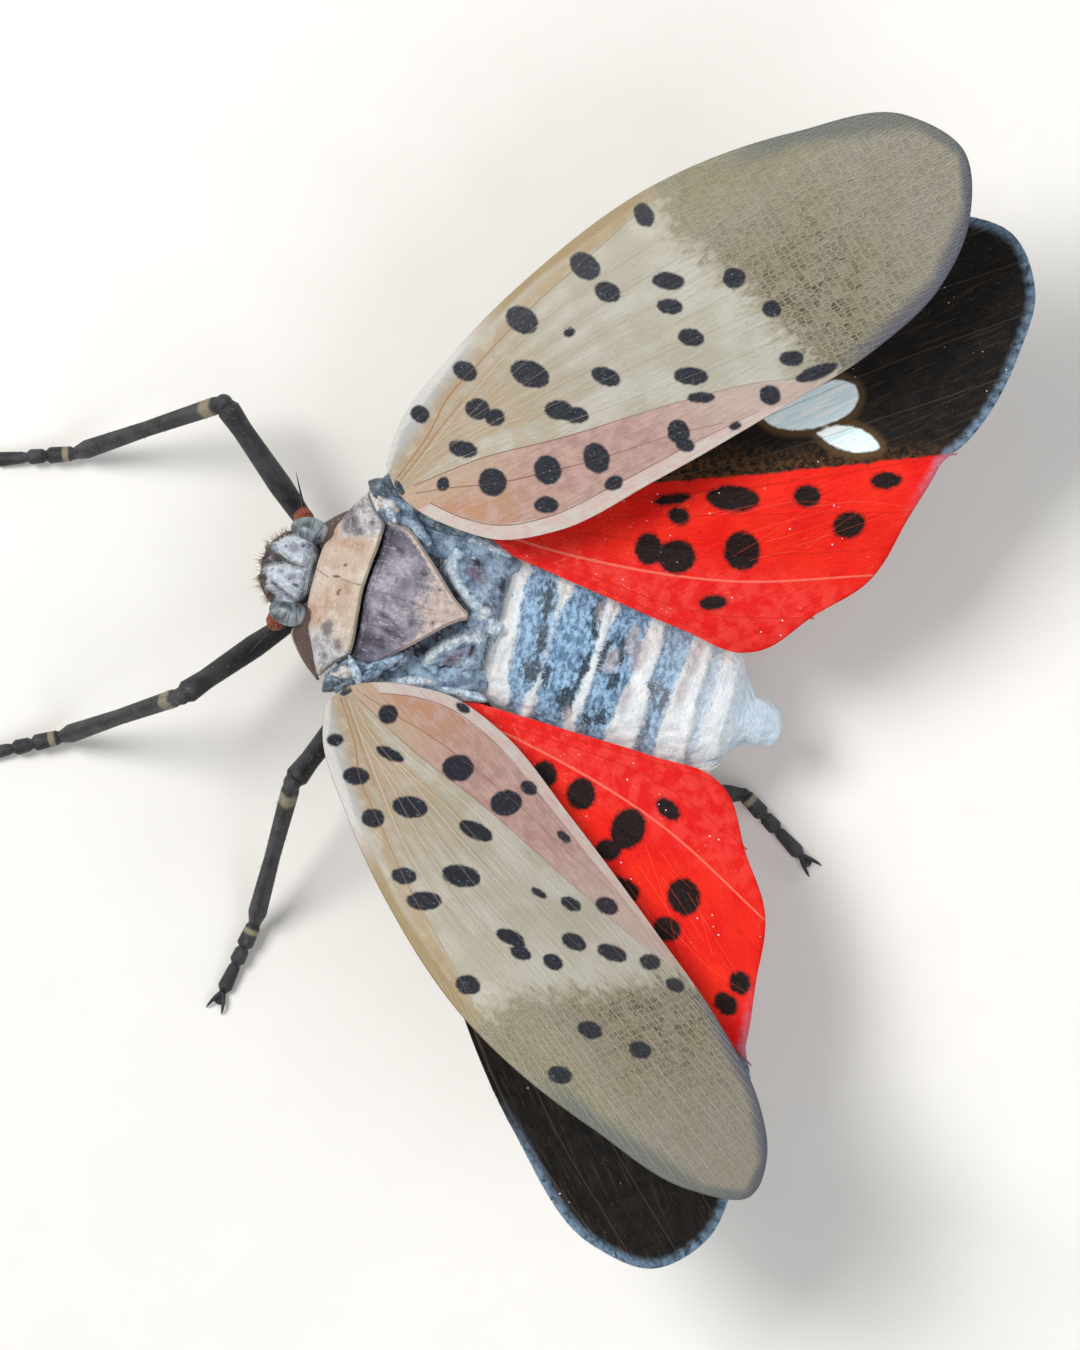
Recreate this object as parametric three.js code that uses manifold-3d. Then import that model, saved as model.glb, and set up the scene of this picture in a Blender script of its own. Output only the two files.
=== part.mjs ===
// A spotted lanternfly standing on its six feet with its wings spread, at life size.
// Sizes are in millimetres. +X runs to the head, +Y to the animal's left and +Z up; x = 0 is under the
// middle of the pronotum and z = 0 is the floor. At the end the group moves so that its box is centred.
import * as THREE from "three";
import { mergeVertices } from "three/addons/utils/BufferGeometryUtils.js";
import Module from "manifold-3d";

const wasm = await Module();
wasm.setup();

// Space left between two neighbouring pieces
const gap = 0.25;
const rad = THREE.MathUtils.degToRad;

// Head, eyes, feelers and beak
const head = { centre: [1.78, 0, 5.95], half: [1.0, 1.32, 1.15], crown: 6.95, browDrop: 0.42, keel: 0.09 };
const clypeus = { top: [2.0, 0, 5.0], tip: [0.75, 0, 3.05], radius: 0.78, tipRadius: 0.34 };
const eye = { centre: [1.42, 1.34, 6.12], half: [0.62, 0.44, 0.62] };
const antenna = {
  root: [1.75, 1.2, 5.25],
  bulbEnd: [1.95, 2.05, 5.0],
  tip: [2.5, 3.1, 4.95],
  bulb: 0.36,
  bristle: 0.16,
};
const beak = { root: [0.5, 0, 2.62], tip: [-5.2, 0, 2.05], radius: 0.3, tipRadius: 0.2 };

// Thorax: a core with the plates of the back set in its top. The wings grow out of its shoulders
const shoulder = 2.36;
const core = {
  front: 1.0,
  back: -5.05,
  halfWidth: [[-5.05, 1.5], [-4.2, 2.15], [-2.4, 2.4], [-0.6, 2.45], [0.4, 2.1], [1.0, 1.35]],
  top: [[-5.05, 6.1], [-4.0, 6.6], [-2.4, 7.0], [-0.6, 7.05], [0.4, 6.9], [1.0, 6.4]],
  belly: [[-5.05, 3.7], [-4.2, 3.05], [-2.4, 2.8], [-0.6, 2.9], [0.4, 3.5], [1.0, 4.4]],
};
const pronotum = {
  halfWidth: 3.1,
  front: [[0, 1.0], [1.2, 0.98], [2.1, 0.6], [3.1, 0.16]],
  back: [[0, -0.62], [1.2, -0.7], [2.0, -0.78], [2.7, -0.46], [3.1, -0.1]],
  crown: 7.5,
  slope: 0.125,
  swell: 0.12,
  thickness: 0.6,
};
const mesonotum = {
  front: -0.8,
  apex: -4.15,
  halfWidth: [[-0.8, shoulder], [-1.55, 2.3], [-2.1, 1.8], [-2.6, 1.38], [-3.1, 0.92], [-3.6, 0.45],
    [-4.15, 0.08]],
  crown: [[-0.8, 7.6], [-2.2, 7.8], [-3.4, 7.62], [-4.15, 7.35]],
  slope: 0.12,
  thickness: 0.6,
};
const metanotum = { centre: [-4.3, 1.12, 6.42], half: [1.28, 0.92, 0.52], turn: 32 };
const metanotumBridge = { centre: [-4.6, 0, 6.4], half: [0.75, 0.42, 0.34] };
const tegula = { centre: [-0.75, shoulder + gap + 0.21, 7.05], half: [0.38, 0.2, 0.26], turn: 20 };

// Abdomen: ringed barrel that droops and bends to the animal's left. Each ring is narrower by the share
// ringStep at its front rim and wider by it at its rear rim
const abdomen = {
  front: core.back - gap - 0.1,
  back: -13.6,
  turn: 5.5,
  segments: 7,
  ringStep: 0.035,
  halfWidth: [[-13.6, 1.3], [-13.1, 2.0], [-12.0, 2.45], [-9.5, 2.75], [-7.0, 2.6], [-5.4, 1.7]],
  top: [[-13.6, 4.3], [-13.1, 4.8], [-12.0, 5.2], [-9.5, 5.75], [-7.0, 5.85], [-5.4, 5.4]],
  belly: [[-13.6, 2.8], [-13.1, 2.35], [-12.0, 1.95], [-9.5, 1.75], [-7.0, 2.2], [-5.4, 3.4]],
};
const tail = { length: 1.15, half: [0.85, 0.62], tipShare: 0.45 };

// Wings. A margin runs from the leading edge's root round the tip to the trailing edge's root, as points of
// [along the wing, towards the leading edge]; a vein is named by the margin point it runs out to
const wingLength = 21;
const halfChord = 4;
const wingThickness = 0.5;
const rimThickness = 0.36;
const forewing = {
  hinge: [-0.9, shoulder + 1.04, 7.5],
  spread: { left: 35, right: 43.5 },
  raise: { left: 17, right: 14 },
  roll: { left: 32, right: 10 },
  twist: { left: 22, right: 0 },
  margin: [[0.15, 0.9], [1.1, 1.75], [4.0, 3.0], [7.4, 3.9], [12.0, 4.45], [17.0, 3.75], [20.4, 2.5],
    [21.4, 0.7], [20.5, -1.3], [18.5, -2.8], [15.8, -3.5], [12.1, -3.7], [7.5, -3.8], [3.9, -3.7],
    [2.1, -3.05], [0.6, -1.5]],
  veins: [[5.7, 3.5], [13.6, 4.4], [18.2, 3.4], [20.7, 2.1], [21.3, -0.1], [20.1, -2.0], [17.6, -3.1],
    [13.1, -3.7], [10.4, -3.75], [4.6, -3.75]],
  bow: { leading: 0.6, trailing: 0.6 },
  camber: 0.45,
  edgeDrop: 0.5,
  pleat: 0,
  tuck: 0,
  knuckle: { half: [0.47, 0.44, 0.3], back: 0.68, inward: 0.3, drop: 0.22 },
};
const hindwing = {
  hinge: [-3.3, shoulder + 0.64, 6.1],
  spread: { left: 49, right: 39 },
  raise: { left: 8, right: 7 },
  roll: { left: 5, right: 2 },
  twist: { left: 0, right: 0 },
  margin: [[0.3, 0.7], [3.0, 1.7], [8.0, 2.9], [14.0, 3.3], [18.4, 2.6], [19.9, 1.2], [19.8, -0.8],
    [18.6, -2.3], [15.8, -4.3], [14.6, -4.7], [11.4, -7.0], [9.0, -7.6], [6.6, -7.7], [5.0, -6.2],
    [3.0, -4.0], [0.9, -1.7]],
  veins: [[10.0, 3.1], [17.2, 2.9], [20.0, 0.4], [19.2, -1.7], [17.2, -3.4], [15.2, -4.5], [13.0, -5.9],
    [11.4, -7.0], [9.0, -7.6], [6.6, -7.7]],
  bow: { leading: 0.75, trailing: 1 },
  camber: 0.25,
  edgeDrop: 0.1,
  pleat: 0.14,
  tuck: 0.45,
  knuckle: { half: [0.5, 0.45, 0.28], back: 0, inward: 0.1, drop: 0.45 },
};
const ridge = { height: 0.17, under: 0.07, halfWidth: 0.2 };

// Legs: where the joints of each stand, from [hip, trochanter, knee] to [ankle, toe] as seen from above. The
// foot runs from the ankle down to the floor at its toe
const legs = {
  foreLeft: [[0.45, 1.15, 3.7], [1.25, 1.35, 2.65], [4.2, 4.9, 5.5], [8.0, 7.35], [10.5, 8.7]],
  foreRight: [[0.45, -1.15, 3.6], [1.35, -1.2, 2.6], [5.4, -4.7, 4.5], [10.0, -1.9], [12.6, -1.0]],
  midLeft: [[-1.6, 1.7, 3.3], [-1.7, 2.55, 2.6], [0.0, 6.7, 5.0], [0.15, 11.7], [0.6, 14.2]],
  midRight: [[-1.6, -1.7, 3.3], [-1.9, -2.55, 2.6], [-3.7, -6.8, 4.9], [-7.2, -10.6], [-8.8, -12.8]],
  hindLeft: [[-3.7, 1.4, 3.2], [-4.4, 2.1, 2.5], [-7.9, 4.9, 3.9], [-14.5, 3.3], [-16.9, 4.8]],
  hindRight: [[-3.7, -1.4, 3.2], [-4.4, -2.1, 2.5], [-8.0, -4.9, 4.0], [-14.0, -6.4], [-16.4, -7.4]],
};
const limb = { coxa: 0.62, femur: 0.4, tibia: 0.3, tarsus: 0.27, sides: 8 };
const foot = { ankleHeight: 0.62, toeHeight: 0.12 };
const claw = { length: 0.85, splay: 0.45, thickness: 0.19 };
const tibiaSpines = { count: 4, first: 0.3, last: 0.88, length: 0.5, radius: 0.13 };

// Looks of the solids; the names are the record's material slots
const finish = {
  waxedHead: new THREE.MeshStandardMaterial({ color: 0x8f97a3, roughness: 0.75 }),
  eye: new THREE.MeshStandardMaterial({ color: 0x3c4046, roughness: 0.35 }),
  antenna: new THREE.MeshStandardMaterial({ color: 0xc4521c, roughness: 0.5 }),
  tanPlate: new THREE.MeshStandardMaterial({ color: 0xc4b09c, roughness: 0.7 }),
  mauvePlate: new THREE.MeshStandardMaterial({ color: 0x8d8494, roughness: 0.7 }),
  darkShell: new THREE.MeshStandardMaterial({ color: 0x2f3a48, roughness: 0.4 }),
  banded: new THREE.MeshStandardMaterial({ color: 0xd5dde4, roughness: 0.8 }),
  forewing: new THREE.MeshStandardMaterial({ color: 0xc9bfa8, roughness: 0.6 }),
  hindwing: new THREE.MeshStandardMaterial({ color: 0xd8261a, roughness: 0.55 }),
  leg: new THREE.MeshStandardMaterial({ color: 0x24282c, roughness: 0.4 }),
};

const sides = { left: 1, right: -1 };
const mirrored = ([x, y, z], side) => [x, side * y, z];
const blend = (a, b, t) => a + (b - a) * t;

// Value at x of a table of [x, value] rows, in straight lines between its rows
function along(table, x) {
  const rows = [...table].sort((a, b) => a[0] - b[0]);
  const next = rows.findIndex((row) => row[0] >= x);
  if (next < 0) return rows.at(-1)[1];
  if (next === 0) return rows[0][1];
  const [x0, v0] = rows[next - 1];
  const [x1, v1] = rows[next];
  return THREE.MathUtils.lerp(v0, v1, (x - x0) / (x1 - x0));
}

// Closed geometry as a manifold-3d solid that faces out
function solid(geometry) {
  const bare = geometry.index ? geometry.toNonIndexed() : geometry.clone();
  bare.deleteAttribute("normal");
  bare.deleteAttribute("uv");
  const merged = mergeVertices(bare, 1e-4);
  const index = merged.index.array;
  const faces = [];
  for (let i = 0; i < index.length; i += 3) {
    const [a, b, c] = [index[i], index[i + 1], index[i + 2]];
    if (a !== b && b !== c && c !== a) faces.push([a, b, c]);
  }
  const vertProperties = merged.attributes.position.array;
  const made = (list) =>
    new wasm.Manifold(new wasm.Mesh({ numProp: 3, vertProperties, triVerts: new Uint32Array(list.flat()) }));
  const first = made(faces);
  return first.volume() > 0 ? first : made(faces.map(([a, b, c]) => [a, c, b]));
}

function geometryOf(body) {
  const mesh = body.getMesh();
  return new THREE.BufferGeometry()
    .setAttribute("position", new THREE.BufferAttribute(new Float32Array(mesh.vertProperties), 3))
    .setIndex(new THREE.BufferAttribute(new Uint32Array(mesh.triVerts), 1));
}

// Ball of the given half sizes, turned about Z, with an optional change to each of its points
function ball(centre, half, { turn = 0, around = 16, down = 10, shape = (p) => p } = {}) {
  const geometry = new THREE.SphereGeometry(1, around, down).rotateX(Math.PI / 2);
  const at = geometry.attributes.position;
  const p = new THREE.Vector3();
  for (let i = 0; i < at.count; i++) {
    p.fromBufferAttribute(at, i);
    const [x, y, z] = shape([p.x * half[0], p.y * half[1], p.z * half[2]]);
    at.setXYZ(i, x, y, z);
  }
  geometry.rotateZ(rad(turn)).translate(...centre);
  return solid(geometry);
}

// Straight spindle between two points, turned from rows of [share of its length, radius]. grow widens it all
// round, for a copy that cuts a seat with room to spare
function spindle(from, to, rows, sides = limb.sides, grow = 0) {
  const start = new THREE.Vector3(...from);
  const way = new THREE.Vector3(...to).sub(start);
  const length = way.length();
  const wide = rows.map(([share, r]) => new THREE.Vector2(r + grow, share * length));
  wide[0].y -= grow;
  wide.at(-1).y += grow;
  const profile = [new THREE.Vector2(0, wide[0].y), ...wide, new THREE.Vector2(0, wide.at(-1).y)];
  const geometry = new THREE.LatheGeometry(profile, sides);
  const turn = new THREE.Quaternion().setFromUnitVectors(new THREE.Vector3(0, 1, 0), way.normalize());
  geometry.applyQuaternion(turn);
  geometry.translate(...from);
  return solid(geometry);
}

function indexed(points, faces) {
  const position = new THREE.Float32BufferAttribute(points.flat(), 3);
  return new THREE.BufferGeometry().setAttribute("position", position).setIndex(faces);
}

// Closed barrel: rings of points from first to last, each end closed to its own middle
function barrel(rings) {
  const count = rings[0].length;
  const points = rings.flat();
  const faces = [];
  for (let i = 0; i + 1 < rings.length; i++)
    for (let j = 0; j < count; j++) {
      const [a, b] = [i * count + j, i * count + ((j + 1) % count)];
      faces.push(a, b, a + count, b, b + count, a + count);
    }
  for (const [ring, turned] of [[0, true], [rings.length - 1, false]]) {
    const middle = points.length;
    points.push([0, 1, 2].map((k) => rings[ring].reduce((sum, p) => sum + p[k], 0) / count));
    for (let j = 0; j < count; j++) {
      const [a, b] = [ring * count + j, ring * count + ((j + 1) % count)];
      faces.push(...(turned ? [middle, b, a] : [middle, a, b]));
    }
  }
  return solid(indexed(points, faces));
}

// Sheet between an upper and a lower grid of points, split into the same triangles on both faces
function sheet(upper, lower) {
  const rows = upper.length;
  const columns = upper[0].length;
  const size = rows * columns;
  const at = (i, j, side) => side * size + i * columns + j;
  const faces = [];
  const quad = (a, b, c, d) => faces.push(a, b, c, b, d, c);
  for (let i = 0; i + 1 < rows; i++)
    for (let j = 0; j + 1 < columns; j++) {
      const [a, b, c, d] = [at(i, j, 1), at(i, j + 1, 1), at(i + 1, j, 1), at(i + 1, j + 1, 1)];
      quad(at(i, j, 0), at(i, j + 1, 0), at(i + 1, j, 0), at(i + 1, j + 1, 0));
      faces.push(a, c, b, b, c, d);
    }
  for (let j = 0; j + 1 < columns; j++) {
    quad(at(0, j + 1, 0), at(0, j, 0), at(0, j + 1, 1), at(0, j, 1));
    quad(at(rows - 1, j, 0), at(rows - 1, j + 1, 0), at(rows - 1, j, 1), at(rows - 1, j + 1, 1));
  }
  for (let i = 0; i + 1 < rows; i++) {
    quad(at(i, 0, 0), at(i + 1, 0, 0), at(i, 0, 1), at(i + 1, 0, 1));
    quad(at(i + 1, columns - 1, 0), at(i, columns - 1, 0), at(i + 1, columns - 1, 1), at(i, columns - 1, 1));
  }
  return solid(indexed([...upper.flat(), ...lower.flat()], faces));
}

// Ring of a body's cross-section at x: a superellipse of the power given, between its top and belly heights
function crossSection(x, halfWidth, top, belly, power, count, sideways = 0) {
  const middle = (top + belly) / 2;
  return Array.from({ length: count }, (_, j) => {
    const turn = (j / count) * 2 * Math.PI;
    const [c, s] = [Math.cos(turn), Math.sin(turn)];
    const round = (v) => Math.sign(v) * Math.abs(v) ** (2 / power);
    return [x, sideways + halfWidth * round(c), middle + ((top - belly) / 2) * round(s)];
  });
}

function makeCore() {
  const steps = 10;
  const rings = Array.from({ length: steps + 1 }, (_, i) => {
    const x = blend(core.front, core.back, i / steps);
    return crossSection(x, along(core.halfWidth, x), along(core.top, x), along(core.belly, x), 2.4, 18);
  });
  return barrel(rings);
}

// The plates of the back. grow makes the wider copy that cuts each plate's seat out of the core
function makePronotum(grow = 0) {
  const across = 18;
  const lengthwise = 4;
  const point = (i, j, drop) => {
    const share = (2 * i) / across - 1;
    const y = share * (pronotum.halfWidth + grow);
    const reach = Math.min(Math.abs(y), pronotum.halfWidth);
    const [front, back] = [along(pronotum.front, reach) + grow, along(pronotum.back, reach) - grow];
    const x = blend(front, back, j / lengthwise);
    const swell = pronotum.swell * (1 - ((2 * j) / lengthwise - 1) ** 2);
    return [x, y, pronotum.crown - pronotum.slope * y * y + swell - drop];
  };
  return plate(across, lengthwise, point, -grow, pronotum.thickness + grow);
}

function makeMesonotum(grow = 0) {
  const across = 12;
  const lengthwise = 10;
  const point = (i, j, drop) => {
    const spine = blend(mesonotum.front, mesonotum.apex - grow, j / lengthwise);
    const y = ((2 * i) / across - 1) * (along(mesonotum.halfWidth, spine) + grow);
    const seam = along(pronotum.back, Math.min(Math.abs(y), shoulder)) - gap + grow;
    const x = spine + (1 - j / lengthwise) * (seam - mesonotum.front);
    return [x, y, along(mesonotum.crown, spine) - mesonotum.slope * y * y - drop];
  };
  return plate(across, lengthwise, point, -grow, mesonotum.thickness + grow);
}

function plate(across, lengthwise, point, topDrop, underDrop) {
  const row = (i, drop) => Array.from({ length: lengthwise + 1 }, (_, j) => point(i, j, drop));
  const grid = (drop) => Array.from({ length: across + 1 }, (_, i) => row(i, drop));
  return sheet(grid(topDrop), grid(underDrop));
}

function makeMetanotum(grow = 0) {
  const half = metanotum.half.map((h) => h + grow);
  const lobes = [1, -1].map((side) =>
    ball(mirrored(metanotum.centre, side), half, { turn: side * metanotum.turn, around: 14, down: 8 }),
  );
  const bridgeHalf = metanotumBridge.half.map((h) => h + grow);
  return lobes[0].add(lobes[1]).add(ball(metanotumBridge.centre, bridgeHalf, { around: 10, down: 6 }));
}

function makeTegula(side) {
  const turn = side * tegula.turn;
  return ball(mirrored(tegula.centre, side), tegula.half, { turn, around: 10, down: 6 });
}

// How far the abdomen's axis has bent sideways at x
const abdomenDrift = (x) => Math.tan(rad(abdomen.turn)) * Math.max(0, abdomen.front - x);

function makeAbdomen() {
  const stepsEach = 3;
  const total = abdomen.segments * stepsEach;
  const rings = Array.from({ length: total + 1 }, (_, i) => {
    const x = blend(abdomen.front, abdomen.back, i / total);
    const swell = 1 + abdomen.ringStep * (((i + 1) % stepsEach) - 1);
    const [top, belly] = [along(abdomen.top, x), along(abdomen.belly, x)];
    const middle = (top + belly) / 2;
    const grown = (z) => middle + (z - middle) * swell;
    const halfWidth = along(abdomen.halfWidth, x) * swell;
    return crossSection(x, halfWidth, grown(top), grown(belly), 2.15, 20, abdomenDrift(x));
  });
  return barrel(rings);
}

function makeTail() {
  const first = abdomen.back - gap;
  const middle = (along(abdomen.top, abdomen.back) + along(abdomen.belly, abdomen.back)) / 2;
  const rings = [[0, 0.9], [0.25, 1], [0.7, 0.85], [1, tail.tipShare]].map(([share, size]) => {
    const x = first - share * tail.length;
    const rise = tail.half[1] * size;
    return crossSection(x, tail.half[0] * size, middle + rise, middle - rise, 2, 12, abdomenDrift(x));
  });
  return barrel(rings);
}

// Head: a broad ball with a flattened crown that falls to the brow, and a keel down the face
function makeHead(grow = 0) {
  const crownFall = ([x, y, z]) => {
    const fall = head.browDrop * Math.max(0, x / head.half[0] + 0.2) ** 2;
    const ceiling = head.crown - head.centre[2] - fall;
    const keel = x > 0 && z < 0.6 ? head.keel * Math.exp(-((y / 0.35) ** 2)) : 0;
    return [Math.max(x, -0.78) + keel, y, Math.min(z, ceiling)];
  };
  const half = head.half.map((h) => h + grow);
  const skull = ball(head.centre, half, { around: 20, down: 13, shape: grow ? undefined : crownFall });
  const taper = [[0, clypeus.radius], [0.55, clypeus.radius * 0.8], [1, clypeus.tipRadius]];
  return skull.add(spindle(clypeus.top, clypeus.tip, taper, 12, grow));
}

function makeEye(side, grow = 0) {
  return ball(mirrored(eye.centre, side), eye.half.map((h) => h + grow), { around: 12, down: 8 });
}

function makeAntenna(side, grow = 0) {
  const [root, end, tip] = [antenna.root, antenna.bulbEnd, antenna.tip].map((p) => mirrored(p, side));
  const bulb = spindle(root, end, [[0, 0.2], [0.25, 0.26], [0.6, antenna.bulb], [1, 0.22]], 10, grow);
  const bristle = [[-0.15, antenna.bristle], [0.3, antenna.bristle * 0.8], [1, 0.07]];
  return bulb.add(spindle(end, tip, bristle, 6, grow));
}

function makeBeak(grow = 0) {
  const rows = [[0, beak.radius], [0.6, beak.radius * 0.9], [1, beak.tipRadius]];
  return spindle(beak.root, beak.tip, rows, 10, grow);
}

// Wing's own axes in the part's frame: along the wing, towards its leading edge, and out of its upper face.
// Spread is the angle from straight back, seen from above; raise lifts the tip, roll the leading edge, and
// twist is the further roll at the tip
function wingFrame(wing, sideName) {
  const side = sides[sideName];
  const angles = [wing.spread, wing.raise, wing.roll, wing.twist];
  const [spread, raise, roll, twist] = angles.map((angle) => rad(angle[sideName]));
  const level = new THREE.Vector3(-Math.cos(spread), side * Math.sin(spread), 0);
  const chord = new THREE.Vector3(Math.sin(spread), side * Math.cos(spread), 0);
  const lengthwise = level.clone().multiplyScalar(Math.cos(raise)).setZ(Math.sin(raise));
  const lifted = level.clone().multiplyScalar(-Math.sin(raise)).setZ(Math.cos(raise));
  const hinge = new THREE.Vector3(...mirrored(wing.hinge, side));
  return (s, c, h) => {
    const [cos, sin] = [Math.cos, Math.sin].map((f) => f(roll + (twist * s) / wingLength));
    const point = hinge.clone().addScaledVector(lengthwise, s);
    point.addScaledVector(chord, c * cos - h * sin).addScaledVector(lifted, c * sin + h * cos);
    return point.toArray();
  };
}

// Height of the middle of the membrane: arched across and along, with the leading edge bent down. A hindwing
// is pleated like a fan and its root is tucked under the forewing
function membrane(wing, s, c) {
  const { clamp, smoothstep } = THREE.MathUtils;
  const lengthwise = Math.sin(0.8 * Math.PI * clamp(s / wingLength, 0, 1) + 0.3);
  const arch = wing.camber * lengthwise * (1 - 0.7 * (c / halfChord) ** 2);
  const edge = wing.edgeDrop * smoothstep(c, 2.2, 5);
  const pleat = wing.pleat * Math.cos(Math.atan2(c, s + 1) * 18) * smoothstep(s, 3, 9);
  return arch - edge + pleat - wing.tuck * (1 - smoothstep(s, 4, 11));
}

// Wing: rays run from its root to the margin, bowed out as the veins are. Each vein is a ray with a raised
// crest between two feet
function makeWing(wing, sideName) {
  const place = wingFrame(wing, sideName);
  const margin = new THREE.CatmullRomCurve3(wing.margin.map(([s, c]) => new THREE.Vector3(s, c, 0)));
  const marginLength = margin.getLength();
  const samples = margin.getSpacedPoints(400);
  const nearest = ([s, c]) => {
    const away = samples.map((p) => Math.hypot(p.x - s, p.y - c));
    return away.indexOf(Math.min(...away)) / 400;
  };
  const crests = wing.veins.map(nearest).sort((a, b) => a - b);
  const stops = [0, ...crests, 1];
  const shares = [0.05, 0.13, 0.26, 0.42, 0.58, 0.74, 0.9, 1];
  const columns = (t) => {
    const list = [{ a: 0, lift: 0.6 }];
    for (let k = 1; k < stops.length; k++) {
      const room = stops[k] - stops[k - 1];
      const foot = Math.min(0.3 * room, ridge.halfWidth / (marginLength * t));
      const start = k === 1 ? 0.33 * room : foot;
      const end = k === stops.length - 1 ? 0.33 * room : foot;
      const between = [stops[k - 1] + start, stops[k - 1] + room / 2, stops[k] - end];
      list.push(...between.map((a) => ({ a, lift: 0 })));
      list.push({ a: stops[k], lift: k === stops.length - 1 ? 0.6 : 1 });
    }
    return list;
  };
  const grid = (face) =>
    shares.map((t) =>
      columns(t).map(({ a, lift }) => {
        const edge = margin.getPointAt(a);
        const [s, c] = [edge.x * t, edge.y * t ** (edge.y > 0 ? wing.bow.leading : wing.bow.trailing)];
        const half = (t === 1 ? rimThickness : wingThickness) / 2;
        const crest = lift * (t === 1 ? 0.3 : 1) * (face > 0 ? ridge.height : ridge.under);
        return place(s, c, membrane(wing, s, c) + face * (half + crest));
      }),
    );
  const { half, back, inward, drop } = wing.knuckle;
  const [x, y, z] = wing.hinge;
  const root = mirrored([x - back, y - inward, z - drop], sides[sideName]);
  return sheet(grid(1), grid(-1)).add(ball(root, half, { around: 10, down: 6 }));
}

// Legs: hip, thigh, shin and foot, each cut clear of the one before. The foot is flat under its toe
function legPieces([hip, trochanter, knee, ankle, toe], spined) {
  const ankleAt = [...ankle, foot.ankleHeight];
  const { coxa, femur, tibia, tarsus, sides } = limb;
  const hipRows = [[0, coxa], [0.5, coxa * 0.92], [0.85, femur * 1.05], [1, femur * 0.7]];
  const thighRows = [[0, 0.26], [0.4, femur], [0.85, 0.34], [0.97, 0.4], [1, 0.3]];
  const shinRows = [[0, 0.24], [0.05, tibia], [0.5, 0.26], [0.93, tibia * 1.05], [1, 0.2]];
  const waist = 0.2;
  const footRows = [[0, waist], [0.04, tarsus], [0.32, tarsus * 1.1], [0.38, waist], [0.56, tarsus],
    [0.62, waist], [0.94, tarsus], [1, 0.14]];
  const hipShape = (grow) => spindle(hip, trochanter, hipRows, sides, grow);
  const thigh = (grow) => spindle(trochanter, knee, thighRows, sides, grow);
  const shin = (grow) => spindle(knee, ankleAt, shinRows, sides, grow);
  let toes = spindle(ankleAt, [...toe, foot.toeHeight], footRows, 6);
  const heading = Math.atan2(toe[1] - ankle[1], toe[0] - ankle[0]);
  for (const turn of [heading - claw.splay, heading + claw.splay]) {
    const reach = (length) => [toe[0] + length * Math.cos(turn), toe[1] + length * Math.sin(turn)];
    const clawRows = [[0, claw.thickness], [0.6, claw.thickness * 0.9], [1, 0.08]];
    toes = toes.add(spindle([...reach(-0.12), 0.18], [...reach(claw.length), 0.1], clawRows, 5));
  }
  const shinAlone = shin(0).subtract(thigh(gap));
  return {
    coxa: hipShape(0),
    femur: thigh(0).subtract(hipShape(gap)),
    tibia: spined ? withSpines(shinAlone, knee, ankleAt) : shinAlone,
    tarsus: toes.subtract(shin(gap)).trimByPlane([0, 0, 1], 0),
    seat: hipShape(gap),
  };
}

// Row of short spines down the outer side of a shin
function withSpines(tibia, from, to) {
  const outward = Math.sign(from[1]);
  let made = tibia;
  for (let i = 0; i < tibiaSpines.count; i++) {
    const share = blend(tibiaSpines.first, tibiaSpines.last, i / (tibiaSpines.count - 1));
    const root = from.map((value, k) => blend(value, to[k], share));
    const tip = [root[0] - 0.3, root[1] + outward * (0.2 + tibiaSpines.length), root[2] + 0.12];
    const rows = [[0, tibiaSpines.radius], [0.6, tibiaSpines.radius * 0.8], [1, 0.04]];
    made = made.add(spindle(root, tip, rows, 6));
  }
  return made;
}

const lanternfly = new THREE.Group();
const solids = {};

function show(name, body, material) {
  const parts = body.decompose().sort((a, b) => b.volume() - a.volume());
  solids[name] = parts[0];
  const mesh = new THREE.Mesh(geometryOf(parts[0]), material);
  mesh.name = name;
  lanternfly.add(mesh);
}

// Back plates, and the core with their seats cut out
show("pronotum", makePronotum(), finish.tanPlate);
show("mesonotum", makeMesonotum(), finish.mauvePlate);
show("metanotum", makeMetanotum().subtract(makeMesonotum(gap)), finish.darkShell);
const seats = [makePronotum(gap), makeMesonotum(gap), makeMetanotum(gap), makeBeak(gap)];
let thorax = seats.reduce((body, seat) => body.subtract(seat), makeCore());

// Head, with sockets for the eyes and the feelers and clear of the pronotum
let skull = makeHead().subtract(makePronotum(gap)).subtract(makeBeak(gap));
for (const [name, side] of Object.entries(sides)) {
  const socketed = makeAntenna(side).subtract(makeEye(side, gap));
  skull = skull.subtract(makeEye(side, gap)).subtract(makeAntenna(side, gap));
  thorax = thorax.subtract(makeEye(side, gap));
  show("eye_" + name, makeEye(side).subtract(makePronotum(gap)), finish.eye);
  show("antenna_" + name, socketed, finish.antenna);
}
thorax = thorax.subtract(makeHead(gap));

// Legs, with the hips let into the core
for (const [name, leg] of Object.entries(legs)) {
  const label = name.replace(/(Left|Right)$/, (side) => "_" + side.toLowerCase());
  const { seat, ...pieces } = legPieces(leg, name.startsWith("hind"));
  thorax = thorax.subtract(seat);
  for (const [part, body] of Object.entries(pieces)) show("leg_" + label + "_" + part, body, finish.leg);
}
show("head", skull, finish.waxedHead);
show("thorax", thorax, finish.darkShell);
show("rostrum", makeBeak(), finish.leg);
show("abdomen", makeAbdomen(), finish.banded);
show("abdomen_tip", makeTail(), finish.banded);

for (const [name, side] of Object.entries(sides)) {
  show("tegula_" + name, makeTegula(side), finish.tanPlate);
  show("forewing_" + name, makeWing(forewing, name), finish.forewing);
  show("hindwing_" + name, makeWing(hindwing, name), finish.hindwing);
}

// The origin goes to the middle of the whole animal's box, on the floor
const box = new THREE.Box3().setFromObject(lanternfly);
const middle = box.getCenter(new THREE.Vector3());
lanternfly.position.set(-middle.x, -middle.y, 0);

export default lanternfly;
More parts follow.
